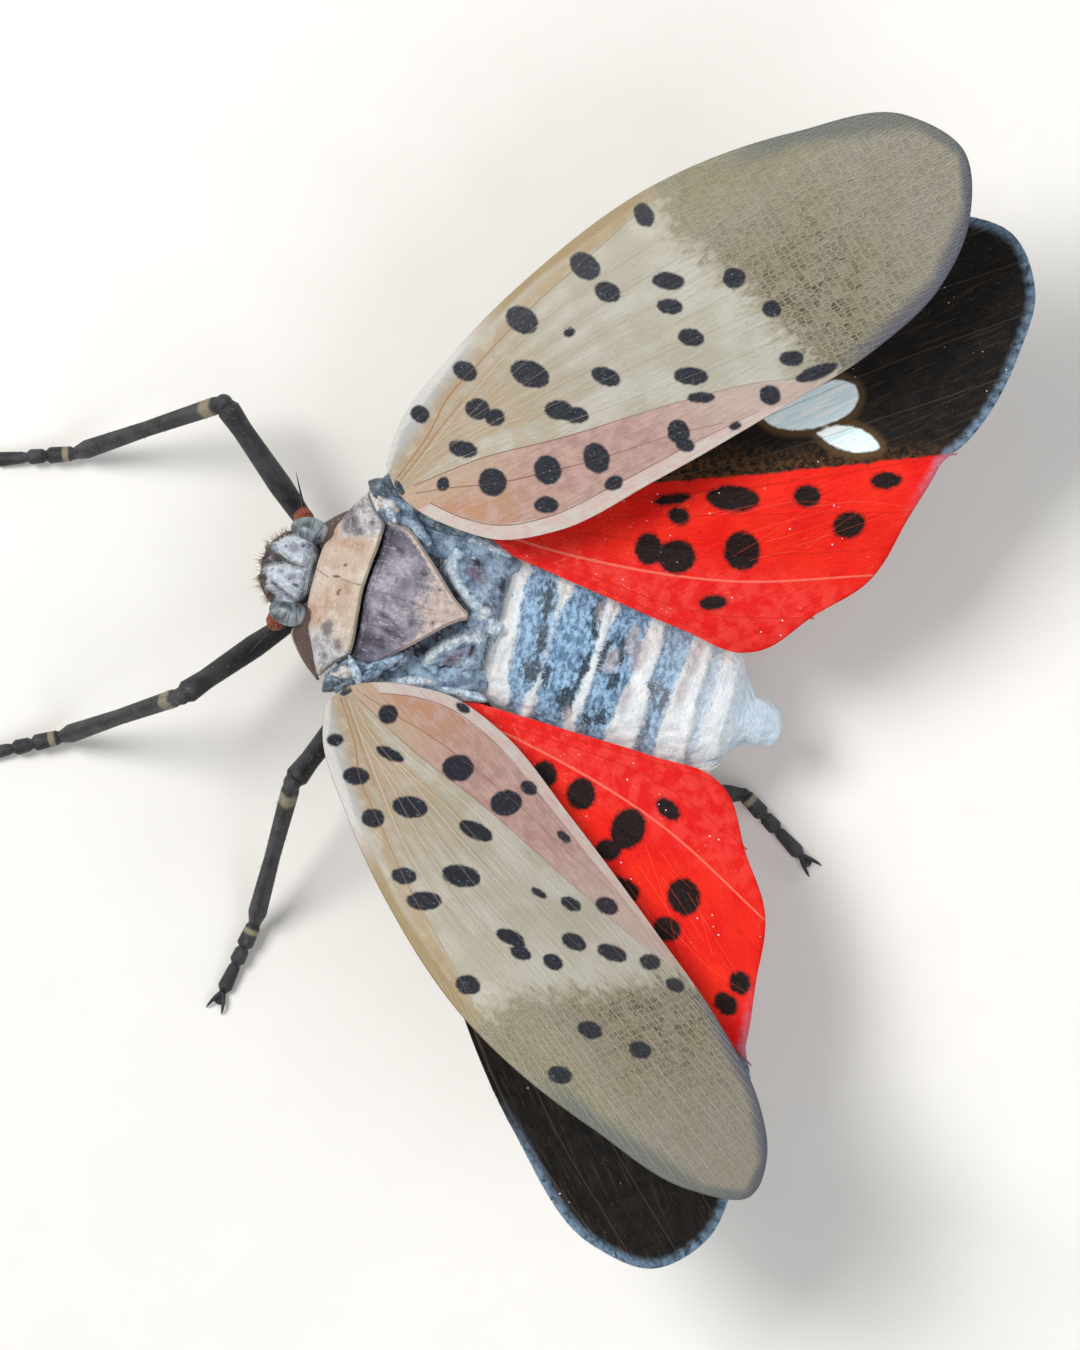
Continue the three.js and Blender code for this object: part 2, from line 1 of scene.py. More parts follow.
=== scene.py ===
import math
from functools import partial

import bmesh
import bpy
import numpy as np
from mathutils import Matrix, Vector


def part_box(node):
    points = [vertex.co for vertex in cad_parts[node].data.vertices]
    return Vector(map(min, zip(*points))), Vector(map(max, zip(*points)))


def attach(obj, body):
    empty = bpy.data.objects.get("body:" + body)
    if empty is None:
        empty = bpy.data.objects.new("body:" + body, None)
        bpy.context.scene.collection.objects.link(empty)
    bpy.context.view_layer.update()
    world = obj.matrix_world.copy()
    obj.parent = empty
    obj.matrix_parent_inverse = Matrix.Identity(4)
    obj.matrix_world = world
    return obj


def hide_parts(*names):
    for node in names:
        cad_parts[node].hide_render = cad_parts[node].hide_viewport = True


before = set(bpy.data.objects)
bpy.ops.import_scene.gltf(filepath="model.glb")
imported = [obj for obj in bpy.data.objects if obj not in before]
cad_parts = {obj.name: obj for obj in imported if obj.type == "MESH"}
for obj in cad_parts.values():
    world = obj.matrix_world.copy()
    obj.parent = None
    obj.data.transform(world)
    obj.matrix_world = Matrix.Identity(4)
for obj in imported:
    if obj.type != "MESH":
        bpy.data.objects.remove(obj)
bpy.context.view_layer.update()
print("frame loaded")

# Shapes are worked out in millimetres from the middle of the pronotum, on the floor: x to the head,
# y to the animal's left, z up. origin is where that point stands in the frame
mm = 0.001
pronotumLow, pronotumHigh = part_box("pronotum")
origin = np.array([pronotumHigh.x / mm - 1.0, (pronotumLow.y + pronotumHigh.y) / 2 / mm, 0])
sides = {"left": 1, "right": -1}
outside = 9.0  # mm, the distance given to points that lie in none of the drawn shapes

# The photograph looks straight down, turned so that the head points left
photoView = {
    "width": 1080,
    "height": 1350,
    "pixelsPerMm": 31,
    "distance": 200,  # mm from the lens to the plane that it is aimed at
    "aim": (-6.9, 1.22, 7.4),
    "right": (-0.966, -0.259, 0),
    "up": (0.259, -0.966, 0),
}


# Where points fall in the photograph, in its pixels: their offset along the view's right and up, larger by
# the share that they are nearer than the aim
def toPhoto(points):
    offset = points - np.array(photoView["aim"])
    scale = photoView["pixelsPerMm"] * photoView["distance"] / (photoView["distance"] - offset[..., 2])
    across = photoView["width"] / 2 + (offset @ np.array(photoView["right"])) * scale
    down = photoView["height"] / 2 - (offset @ np.array(photoView["up"])) * scale
    return np.stack([across, down], -1)


# The other way: where a pixel's ray meets a height, in plan
def fromPhoto(pixels, height):
    pixels = np.asarray(pixels, float)
    scale = photoView["pixelsPerMm"] * photoView["distance"] / (photoView["distance"] - height + photoView["aim"][2])
    across = (pixels[..., 0] - photoView["width"] / 2) / scale
    rising = (photoView["height"] / 2 - pixels[..., 1]) / scale
    right, up = np.array(photoView["right"][:2]), np.array(photoView["up"][:2])
    return across[..., None] * right + rising[..., None] * up + np.array(photoView["aim"][:2])


# Even angles round a full turn
def circle(count):
    return np.linspace(0, 2 * math.pi, count, endpoint=False)


# Directions of length 1, one a row
def directions(rows):
    return rows / np.linalg.norm(rows, axis=-1, keepdims=True)


def smoothstep(value, low, high):
    share = np.clip((value - low) / (high - low), 0, 1)
    return share * share * (3 - 2 * share)


# Bell curve: 1 at 0, and falling to a third at the width
def hump(value, width):
    return np.exp(-((value / width) ** 2))


# Value at x of rows of (x, value), in straight lines between the rows
def along(rows, x):
    rows = np.array(sorted(rows), float)
    return np.interp(x, rows[:, 0], rows[:, 1])


# Curve through points at even steps of length: a cubic between each two, its slopes those of the chords
def smoothCurve(points, count):
    points = np.asarray(points, float)
    chord = np.r_[0, np.cumsum(np.linalg.norm(np.diff(points, axis=0), axis=1))]
    slope = np.gradient(points, chord, axis=0)
    at = np.linspace(0, chord[-1], count)
    k = np.clip(np.searchsorted(chord, at, side="right") - 1, 0, len(chord) - 2)
    step = (chord[k + 1] - chord[k])[:, None]
    u = (at - chord[k])[:, None] / step
    start, end = points[k], points[k + 1]
    return (
        (2 * u**3 - 3 * u**2 + 1) * start
        + (u**3 - 2 * u**2 + u) * step * slope[k]
        + (3 * u**2 - 2 * u**3) * end
        + (u**3 - u**2) * step * slope[k + 1]
    )


# Soft random relief between about -1 and 1: a sum of waves in seeded directions, of the wavelength given
def ripple(points, wavelength, seed):
    waves = 18
    random = np.random.default_rng(seed)
    direction = directions(random.normal(size=(waves, points.shape[-1])))
    pace = 2 * math.pi / (wavelength * random.uniform(0.7, 1.5, waves))
    phase = random.uniform(0, 2 * math.pi, waves)
    return np.sin(points @ (direction * pace[:, None]).T + phase).sum(-1) / math.sqrt(waves) * 0.8


# Depth inside the nearest of some oval marks, in millimetres, below 0 within one. A mark is (across, down,
# length, width, turn) in the photograph's pixels
def markDepth(pixels, marks):
    depth = np.full(pixels.shape[:-1], outside)
    for across, down, length, width, turn in marks:
        c, s = math.cos(math.radians(turn)), math.sin(math.radians(turn))
        x, y = pixels[..., 0] - across, pixels[..., 1] - down
        u, v = (x * c + y * s) / (length / 2), (y * c - x * s) / (width / 2)
        reach = np.sqrt(u * u + v * v) + 1e-6
        steep = np.sqrt((u * 2 / length) ** 2 + (v * 2 / width) ** 2) + 1e-6
        depth = np.minimum(depth, reach * (reach - 1) / steep / photoView["pixelsPerMm"])
    return depth


# Distance in millimetres from the nearest of some lines, each a smooth curve through pixels
def lineDistance(pixels, lines, samples=28):
    nearest = np.full(pixels.shape[:-1], outside)
    for line in lines:
        path = smoothCurve(line, samples)
        for start, end in zip(path[:-1], path[1:]):
            way = end - start
            share = np.clip(((pixels - start) @ way) / (way @ way), 0, 1)
            gap = np.linalg.norm(pixels - start - share[..., None] * way, axis=-1)
            nearest = np.minimum(nearest, gap / photoView["pixelsPerMm"])
    return nearest


# The same from closed outlines, below 0 inside one: a point is inside if a ray from it crosses the outline
# an odd number of times
def areaDepth(pixels, outlines):
    depth = np.full(pixels.shape[:-1], outside)
    x, y = pixels[..., 0], pixels[..., 1]
    for outline in outlines:
        ring = smoothCurve([*outline, outline[0]], 4 * len(outline))
        inside = np.zeros(x.shape, bool)
        for start, end in zip(ring[:-1], ring[1:]):
            crosses = (start[1] > y) != (end[1] > y)
            inside ^= crosses & (x < (end[0] - start[0]) * (y - start[1]) / (end[1] - start[1] + 1e-9) + start[0])
        gap = lineDistance(pixels, [[*outline, outline[0]]], 4 * len(outline))
        depth = np.minimum(depth, np.where(inside, -gap, gap))
    return depth


# Depth inside the nearest of several drawn shapes: ovals, areas, and lines with half their width
def drawn(pixels, marks=(), areas=(), lines=(), half=0.05):
    depth = np.minimum(markDepth(pixels, marks), areaDepth(pixels, areas))
    return np.minimum(depth, lineDistance(pixels, lines) - half)


# A part is a dictionary: points, a list of face arrays, and values at its points by name


# Faces between the points of a grid, row after row; wrapped when its last column joins its first
def gridFaces(rows, columns, wrap=False):
    i, j = np.meshgrid(np.arange(rows - 1), np.arange(columns if wrap else columns - 1), indexing="ij")
    nextJ = (j + 1) % columns
    row, nextRow = i * columns, (i + 1) * columns
    return np.stack([row + j, nextRow + j, nextRow + nextJ, row + nextJ], -1).reshape(-1, 4)


# Closed body from rings of points (rows, around, 3): its first and last ring close on their own middles
def closedRings(rings, **values):
    rows, around = rings.shape[:2]
    flat = rings.reshape(-1, 3)
    poles = np.stack([rings[0].mean(0), rings[-1].mean(0)])
    turn = np.arange(around)
    nextTurn = (turn + 1) % around
    start = len(flat)
    last = (rows - 1) * around
    caps = np.stack([np.full(around, start), turn, nextTurn], -1)
    ends = np.stack([np.full(around, start + 1), last + nextTurn, last + turn], -1)
    part = {"points": np.vstack([flat, poles]), "faces": [gridFaces(rows, around, True), caps, ends], "values": {}}
    for name, value in values.items():
        grid = np.broadcast_to(value, (rows, around))
        part["values"][name] = np.r_[grid.ravel(), grid[0].mean(), grid[-1].mean()]
    return part


# Two directions across each way, both upright to it and to each other; the first is also level where the
# upright given is the z axis
def acrossOf(ways, upright):
    side = directions(np.cross(ways, upright))
    return side, np.cross(side, ways)


# Tube along a path: its outline is a circle of the given radius at each point, squared off by the share
# edges, set across the path's direction
def tube(path, radius, around, edges, **values):
    path = np.asarray(path, float)
    radius = np.broadcast_to(radius, len(path))
    way = directions(np.gradient(path, axis=0))
    side, top = acrossOf(way, (0, 0, 1))
    angle = circle(around)
    shape = radius[:, None] * (1 + edges * np.cos(4 * angle))
    outward = np.cos(angle)[:, None] * side[:, None] + np.sin(angle)[:, None] * top[:, None]
    return closedRings(path[:, None] + shape[..., None] * outward, **values)


# Ball from two angles, with half sizes, turned about z, and an optional change to its points
def ball(centre, half, around, down, turn=0.0, shape=None, **values):
    pole = np.linspace(0, math.pi, down + 2)[1:-1, None]
    angle = circle(around)[None]
    unit = np.stack([np.sin(pole) * np.cos(angle), np.sin(pole) * np.sin(angle), np.cos(pole) + 0 * angle], -1)
    points = unit * np.array(half)
    if shape is not None:
        points = shape(points, unit)
    c, s = math.cos(math.radians(turn)), math.sin(math.radians(turn))
    x, y = points[..., 0] * c - points[..., 1] * s, points[..., 0] * s + points[..., 1] * c
    return closedRings(np.stack([x, y, points[..., 2]], -1) + np.array(centre), **values)


# Change to a ball's points: it swells by soft relief, given in rows of (height, wavelength, seed)
def roughly(*reliefs):
    def shape(points, unit):
        return points + unit * sum(height * ripple(points, width, seed) for height, width, seed in reliefs)[..., None]

    return shape


# Straight or bent limb: a tube whose radius follows rows of (share of its length, radius)
def limb(points, rows, count, around, edges=0.0, **values):
    path = smoothCurve(points, count)
    share = np.linspace(0, 1, count)
    return tube(path, along(rows, share), around, edges, share=share[:, None], **values)


# Thin closed shell between an upper and a lower grid, with a wall round its border
def shell(upper, lower, **values):
    rows, columns = upper.shape[:2]
    size = rows * columns
    faces = gridFaces(rows, columns)
    index = np.arange(size).reshape(rows, columns)
    border = np.concatenate([index[0, :-1], index[:-1, -1], index[-1, :0:-1], index[:0:-1, 0]])
    following = np.roll(border, -1)
    wall = np.stack([border, following, following + size, border + size], -1)
    part = {
        "points": np.vstack([upper.reshape(-1, 3), lower.reshape(-1, 3)]),
        "faces": [faces, faces[:, ::-1] + size, wall],
        "values": {},
    }
    for name, value in values.items():
        flat = np.broadcast_to(value, (rows, columns)).ravel()
        part["values"][name] = np.r_[flat, flat]
    return part


# Values of a part that lies outside all zones of a drawing, but for those given
def plainValues(part, drawing, **given):
    return {name: np.full(len(part["points"]), given.get(name, outside)) for name in drawing}


def joined(parts):
    names = {name for part in parts for name in part["values"]}
    start = 0
    whole = {"points": [], "faces": [], "values": {name: [] for name in names}}
    for part in parts:
        count = len(part["points"])
        whole["points"].append(part["points"])
        whole["faces"] += [face + start for face in part["faces"]]
        for name in names:
            value = part["values"].get(name, 0)
            whole["values"][name].append(np.broadcast_to(value, count))
        start += count
    whole["points"] = np.vstack(whole["points"])
    whole["values"] = {name: np.concatenate(value) for name, value in whole["values"].items()}
    return whole


# Part to a Blender object that rides on the body and takes the place of CAD nodes
def makePiece(name, part, material, nodes=()):
    mesh = bpy.data.meshes.new(name)
    points = (part["points"] + origin) * mm
    mesh.vertices.add(len(points))
    mesh.vertices.foreach_set("co", points.astype(np.float32).ravel())
    loops = np.concatenate([face.ravel() for face in part["faces"]]).astype(np.int32)
    sizes = np.concatenate([np.full(len(face), face.shape[1]) for face in part["faces"]])
    mesh.loops.add(len(loops))
    mesh.loops.foreach_set("vertex_index", loops)
    mesh.polygons.add(len(sizes))
    mesh.polygons.foreach_set("loop_start", np.r_[0, np.cumsum(sizes)[:-1]].astype(np.int32))
    mesh.polygons.foreach_set("use_smooth", np.ones(len(sizes), bool))
    mesh.update(calc_edges=True)
    for valueName, value in part["values"].items():
        attribute = mesh.attributes.new(valueName, "FLOAT", "POINT")
        attribute.data.foreach_set("value", np.asarray(value, np.float32))
    work = bmesh.new()
    work.from_mesh(mesh)
    bmesh.ops.recalc_face_normals(work, faces=work.faces[:])
    work.to_mesh(mesh)
    work.free()
    mesh.materials.append(material)
    piece = bpy.data.objects.new(name, mesh)
    bpy.context.scene.collection.objects.link(piece)
    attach(piece, "root")
    if nodes:
        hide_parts(*nodes)
    return piece


# Colour as painters pick it, 0 to 255, to the light values that the shader takes
def paint(red, green, blue):
    channel = np.array([red, green, blue]) / 255
    light = np.where(channel <= 0.04045, channel / 12.92, ((channel + 0.055) / 1.055) ** 2.4)
    return (*light.tolist(), 1.0)


# A socket takes a link from another socket, or a plain value
def fill(socket, value):
    if isinstance(value, bpy.types.NodeSocket):
        socket.id_data.links.new(value, socket)
    else:
        socket.default_value = value


def addNode(tree, kind, inputs=None, **settings):
    node = tree.nodes.new("ShaderNode" + kind)
    for name, value in settings.items():
        setattr(node, name, value)
    for name, value in (inputs or {}).items():
        fill(node.inputs[name], value)
    return node


def newMaterial(name):
    material = bpy.data.materials.new(name)
    material.use_nodes = True
    tree = material.node_tree
    tree.nodes.clear()
    shader = addNode(tree, "BsdfPrincipled")
    addNode(tree, "OutputMaterial", {0: shader.outputs[0]})
    return material, tree, shader


# Sum of two values, of which one or both are sockets
def sums(operation, first, second=0.0):
    tree = next(value.id_data for value in (first, second) if isinstance(value, bpy.types.NodeSocket))
    return addNode(tree, "Math", {0: first, 1: second}, operation=operation).outputs[0]


operations = ("MULTIPLY", "ADD", "SUBTRACT", "MAXIMUM", "ABSOLUTE")
times, plus, minus, larger, unsigned = (partial(sums, operation) for operation in operations)


# Values added up, each times its weight
def weighted(*pairs):
    total = times(*pairs[0])
    for value, weight in pairs[1:]:
        total = plus(total, times(value, weight))
    return total


# A signed distance whose zero line is torn to and fro by noise
def torn(value, grain, reach):
    return plus(value, times(minus(grain, 0.5), reach))


# Rise from 0 to 1, eased, as a value goes from low to high; the other way when low is above high
def rise(value, low, high, most=1.0):
    inputs = {0: value, 1: low, 2: high, 3: 0.0, 4: most}
    return addNode(value.id_data, "MapRange", inputs, interpolation_type="SMOOTHSTEP").outputs[0]


# Mix of two colours, each a socket or red, green and blue as painters pick them
def blend(share, first, second):
    first, second = (paint(*colour) if isinstance(colour, tuple) else colour for colour in (first, second))
    return addNode(share.id_data, "Mix", {0: share, 6: first, 7: second}, data_type="RGBA").outputs[2]


# Colours laid one over another, each where its share says
def painted(ground, *layers):
    for share, colour in layers:
        ground = blend(share, ground, colour)
    return ground


def read(tree, name):
    return addNode(tree, "Attribute", attribute_name=name).outputs["Fac"]


# Place on the piece in millimetres, stretched along each axis as asked
def place(tree, stretch=(1, 1, 1), turn=(0, 0, 0)):
    where = addNode(tree, "TexCoord").outputs["Object"]
    inputs = {"Vector": where, "Scale": [s / mm for s in stretch], "Rotation": turn}
    return addNode(tree, "Mapping", inputs).outputs[0]


# Place on a wing in millimetres: along it and across it, from the values kept at its points
def wingPlace(tree, stretch=(1, 1)):
    where = addNode(tree, "CombineXYZ", {0: read(tree, "lengthwise"), 1: read(tree, "crosswise")}).outputs[0]
    return addNode(tree, "Mapping", {"Vector": where, "Scale": (*stretch, 1)}).outputs[0]


def noise(where, scale, detail=3.0, rough=0.55, bend=0.0):
    inputs = {"Vector": where, "Scale": scale, "Detail": detail, "Roughness": rough, "Distortion": bend}
    return addNode(where.id_data, "TexNoise", inputs).outputs[0]


def cellular(where, scale, randomness, **settings):
    inputs = {"Vector": where, "Scale": scale, "Randomness": randomness}
    return addNode(where.id_data, "TexVoronoi", inputs, **settings).outputs


def finishShader(shader, colour, rough, relief, depth):
    fill(shader.inputs["Base Color"], colour)
    fill(shader.inputs["Roughness"], rough)
    bump = addNode(shader.id_data, "Bump", {"Height": relief, "Distance": depth * mm, "Strength": 1.0})
    fill(shader.inputs["Normal"], bump.outputs[0])


# A wing's plan is (s, c): s along it from the hinge, c towards its leading edge
forewing = {
    "hinge": (-0.9, 3.4, 7.5), "spread": {"left": 35, "right": 43.5}, "raise": {"left": 17, "right": 14},
    "roll": {"left": 32, "right": 10}, "twist": {"left": 22, "right": 0},
    "margin": [(0.15, 0.9), (1.1, 1.75), (4, 3), (7.4, 3.9), (12, 4.45), (17, 3.75), (20.4, 2.5), (21.4, 0.7),
        (20.5, -1.3), (18.5, -2.8), (15.8, -3.5), (12.1, -3.7), (7.5, -3.8), (3.9, -3.7), (2.1, -3.05), (0.6, -1.5)],
    "bow": (0.6, 0.6), "camber": 0.45, "edgeDrop": 0.5, "pleat": 0, "tuck": 0,
}
hindwing = {
    "hinge": (-3.3, 3.0, 6.1), "spread": {"left": 49, "right": 39}, "raise": {"left": 8, "right": 7},
    "roll": {"left": 5, "right": 2}, "twist": {"left": 0, "right": 0},
    "margin": [(0.3, 0.7), (3, 1.7), (8, 2.9), (14, 3.3), (18.4, 2.6), (19.9, 1.2), (19.8, -0.8), (18.6, -2.3),
        (15.8, -4.3), (14.75, -4.62), (14.45, -4.85), (13, -5.85), (11.6, -6.88), (11.25, -7.06), (9, -7.42),
        (6.85, -7.74), (6.4, -7.6), (5, -6.2), (3, -4), (0.9, -1.7)],
    "bow": (0.75, 1.0), "camber": 0.25, "edgeDrop": 0.1, "pleat": 0.14, "tuck": 0.45,
}
wingMesh = {
    "rays": 320, "steps": 118, "halfThickness": 0.05, "rootThickness": 0.05, "ribRise": 0.022, "veinSteps": 40,
    "veinAround": 8,
}
wingLength = 21  # mm over which arch and twist are spread


# Point of a wing at plan (s, c), lifted off its middle: the plan is arched, its leading edge bent down, a
# hindwing pleated like a fan and tucked at the root, and the whole rolled, raised and spread about the hinge
def wingPoint(wing, sideName, s, c, lift=0.0):
    side = sides[sideName]
    spread, climb, roll, twist = (math.radians(wing[k][sideName]) for k in ("spread", "raise", "roll", "twist"))
    level = np.array([-math.cos(spread), side * math.sin(spread), 0])
    chord = np.array([math.sin(spread), side * math.cos(spread), 0])
    lengthwise = level * math.cos(climb) + np.array([0, 0, math.sin(climb)])
    lifted = -level * math.sin(climb) + np.array([0, 0, math.cos(climb)])
    arch = wing["camber"] * np.sin(0.8 * math.pi * np.clip(s / wingLength, 0, 1) + 0.3) * (1 - 0.7 * (c / 4) ** 2)
    pleat = wing["pleat"] * np.cos(18 * np.arctan2(c, s + 1)) * smoothstep(s, 3, 9)
    height = arch + pleat - wing["edgeDrop"] * smoothstep(c, 2.2, 5)
    height = height - wing["tuck"] * (1 - smoothstep(s, 4, 11)) + lift
    angle = roll + twist * s / wingLength
    hinge = np.array(wing["hinge"]) * [1, side, 1]
    across = (c * np.cos(angle) - height * np.sin(angle))[..., None]
    upward = (c * np.sin(angle) + height * np.cos(angle))[..., None]
    return hinge + lengthwise * np.asarray(s)[..., None] + chord * across + lifted * upward


# Plan of the whole membrane: rays run from the root to the margin, bowed out as the veins are
def wingPlan(wing):
    edge = smoothCurve(wing["margin"], wingMesh["rays"])
    share = np.linspace(0.06, 1, wingMesh["steps"])[:, None] ** 1.6
    bow = np.where(edge[:, 1] > 0, wing["bow"][0], wing["bow"][1])
    return edge[:, 0] * share, edge[:, 1] * share**bow


# Membrane's half thickness at s
def halfThick(s):
    return wingMesh["halfThickness"] + wingMesh["rootThickness"] * np.exp(-np.asarray(s) / 1.5)


# Veins: ribs that follow plan paths and stand proud of both faces. A rib's section is an oval, across the
# path in the plan and up through the membrane. Each vein is (path, half width at root, at end, kind)
def veinParts(wing, sideName, marks, veins, zones):
    parts = []
    steps = wingMesh["veinSteps"]
    angle = circle(wingMesh["veinAround"])[None]
    for path, first, last, kind in veins:
        plan = smoothCurve(path, steps)
        way = directions(np.gradient(plan, axis=0))
        width = np.linspace(first, last, steps)[:, None]
        s = plan[:, :1] - way[:, 1:] * width * np.cos(angle)
        c = plan[:, 1:] + way[:, :1] * width * np.cos(angle)
        rings = wingPoint(wing, sideName, s, c, (halfThick(plan[:, :1]) + wingMesh["ribRise"]) * np.sin(angle))
        parts.append(closedRings(rings, **wingValues(s, c, kind, rings, marks, zones)))
    return parts


def wingValues(s, c, kind, points, marks, zones):
    pixels = toPhoto(points)
    return {"vein": kind, "lengthwise": s, "crosswise": c, "spot": markDepth(pixels, marks), **zones(s, c, pixels)}


def makeWing(kind, sideName, wing, marks, veins, zones, material):
    s, c = wingPlan(wing)
    thick = halfThick(s)
    upper, lower = (wingPoint(wing, sideName, s, c, lift) for lift in (thick, -thick))
    membrane = shell(upper, lower, **wingValues(s, c, 0.0, upper, marks, zones))
    parts = [membrane, *veinParts(wing, sideName, marks, veins, zones)]
    makePiece(kind + "_sheet_" + sideName, joined(parts), material, [kind + "_" + sideName])


# Forewing: marks measured in the photograph, from the leading edge inwards
forewingMarks = {
    "right": [(420, 414, 20, 17, 30), (465, 371, 26, 19, 32), (522, 320, 35, 26, 32), (585, 266, 34, 25, 38),
        (607.5, 292, 28, 20, 25), (644, 215, 27, 19, 60), (569, 332, 12, 11, 0), (530, 374, 41, 26, 22),
        (477.5, 409, 25, 22, 15), (495, 417.5, 20, 18, 0), (463, 449, 30, 17, 12), (606, 376.5, 31, 18, 22),
        (559, 410, 29, 20, 5), (575, 415, 28, 17, 10), (668.5, 281, 33, 18, 8), (670, 306.5, 27, 16, 8),
        (691, 337.5, 27, 18, 12), (691, 376, 35, 18, 5), (701, 397.5, 28, 11, 0), (734, 278, 23, 22, 0),
        (772, 309, 19, 18, 0), (791.5, 358.5, 25, 16, 0), (770, 395, 22, 20, 30), (678.5, 432, 26, 22, 65),
        (685, 445, 20, 14, 20), (596.5, 458, 32, 26, 65), (547.5, 470, 30, 27, 60), (492.5, 482, 29, 28, 45),
        (443, 484, 15, 13, 110), (613.5, 483, 19, 15, -20), (546.5, 505, 25, 17, 0), (735, 426, 13, 9, -20),
        (816.5, 372.5, 44, 14, -20)],
    "left": [(335, 740, 17, 13, 0), (356, 776, 27, 18, 5), (373, 818, 24, 19, 5), (404, 876, 26, 17, 5),
        (424, 901, 36, 19, 0), (390, 754, 30, 12, 25), (388, 714, 20, 20, 0), (410, 807, 36, 22, 8),
        (461, 876, 40, 22, 10), (476, 831, 37, 17, 25), (458, 768, 32, 27, 0), (506, 803, 32, 26, -10),
        (463, 708, 16, 9, 35), (529, 788, 18, 14, 35), (564, 837, 17, 9, 40), (539, 893, 18, 8, 30),
        (571, 904, 22, 13, 25), (607, 906, 24, 17, 20), (510, 937, 30, 15, 20), (521, 953, 22, 14, 20),
        (574, 942, 27, 16, 25), (612, 953, 32, 16, 20), (553, 962, 22, 16, 25), (650, 962, 22, 16, 10),
        (468, 985, 26, 20, 10), (675, 985, 20, 14, 20), (590, 1030, 26, 18, 15), (640, 1050, 24, 18, 15),
        (560, 1075, 26, 18, 10)],
}
# Veins of a forewing as plan paths. Kinds: 1 cream, 2 orange-brown, 3 thin dark brown
forewingVeins = [
    ([(0.25, 0.35), (1.3, 0.8), (1.94, 1.12), (2.83, 1.7), (4.87, 2.42), (7.06, 3.07), (9.1, 3.48), (11.5, 4.0)],
        0.046, 0.026, 2),
    ([(0.3, 0.22), (1.4, 0.66), (2.2, 1.02), (3.4, 1.5)], 0.031, 0.015, 2),
    ([(0.25, 0.1), (1.5, 0.6), (3.4, 1.35), (5.6, 2.15), (8, 2.65), (10.2, 2.85), (12.3, 2.95)], 0.046, 0.026, 1),
    ([(1.5, 0.6), (3.2, 0.95), (5.4, 1.5), (8, 1.95), (10.5, 2.1), (12.6, 2.15)], 0.037, 0.022, 1),
    ([(2.6, 0.8), (5, 0.98), (8, 1.2), (10.6, 1.25), (13, 1.3)], 0.031, 0.022, 1),
    ([(0.4, 0.0), (1.7, 0.35), (4, 0.4), (7, 0.45), (10, 0.4), (13.3, 0.35)], 0.037, 0.022, 1),
    ([(3.0, 0.36), (5.6, 0.0), (8.4, -0.15), (11, -0.35), (13.6, -0.6)], 0.028, 0.022, 1),
    ([(0.5, -0.05), (2.4, -0.08), (5.2, -0.6), (8.6, -1.1), (11.4, -1.5), (13.8, -1.75)], 0.04, 0.026, 1),
    ([(0.6, -0.15), (2.97, -0.42), (5.55, -1.07), (9.5, -1.9), (12.07, -2.6), (13.2, -3.1)], 0.024, 0.017, 3),
    ([(0.5, -0.4), (1.45, -0.72), (2.85, -1.32), (4.65, -1.85), (6.2, -2.25), (9, -2.8), (10.4, -3.2)], 0.03, 0.017,
        3),
    ([(0.75, -0.9), (1.35, -1.75), (2.3, -2.6), (3.9, -3.15), (6.2, -3.28), (9, -3.3), (11.6, -3.42)], 0.032, 0.019,
        3),
]
# Close veins of the tip: between two shares of the margin's length, from where s is about start
netLines = {"count": 34, "from": 0.24, "to": 0.66, "start": 12.9, "halfWidth": 0.02, "edgeSteps": 600}


# The tip's veins are stretches of the same rays that the membrane is made of, from the edge of the net to the
# margin, at even steps of the margin's length
def netVeins():
    edge = smoothCurve(forewing["margin"], netLines["edgeSteps"])
    made = []
    for at in np.linspace(netLines["from"], netLines["to"], netLines["count"]):
        s, c = edge[int(at * netLines["edgeSteps"])]
        bow = forewing["bow"][0 if c > 0 else 1]
        share = np.linspace(min(0.92, netLines["start"] / max(s, netLines["start"] + 0.3)), 0.985, 7)
        path = np.stack([s * share, c * share**bow], -1)
        made.append((path, netLines["halfWidth"], netLines["halfWidth"] * 0.7, 1))
    return made


# Lines of the forewing's plan, rows of (s, c): the suture before the claval area, the pale band's and the
# leading strip's inner edges, and the margin in front and behind. The net's edge has rows of (c, s)
forewingLines = {
    "suture": [(0.6, -0.15), (2.97, -0.42), (5.55, -1.07), (9.5, -1.9), (12.07, -2.6), (13.2, -3.3)],
    "band": [(0.75, -0.9), (1.35, -1.75), (2.3, -2.6), (3.9, -3.15), (6.2, -3.28), (9, -3.3), (11.6, -3.42),
        (13, -3.8)],
    "costa": [(0.25, 0.35), (1.94, 1.12), (2.83, 1.7), (4.87, 2.42), (7.06, 3.07), (9.1, 3.48), (11.5, 4.0)],
    "lead": [(0.15, 0.9), (1.1, 1.75), (4, 3), (7.4, 3.9), (12, 4.45), (17, 3.75), (20.4, 2.5), (21.4, 0.7)],
    "trail": [(0.6, -1.5), (2.1, -3.05), (3.9, -3.7), (12.1, -3.7), (15.8, -3.5), (18.5, -2.8), (20.5, -1.3),
        (21.4, 0.7)],
    "net": [(-3.8, 14.4), (-3.2, 13.9), (-1.35, 13.6), (0.7, 13.2), (2.45, 12.3), (4.3, 12.0)],
}


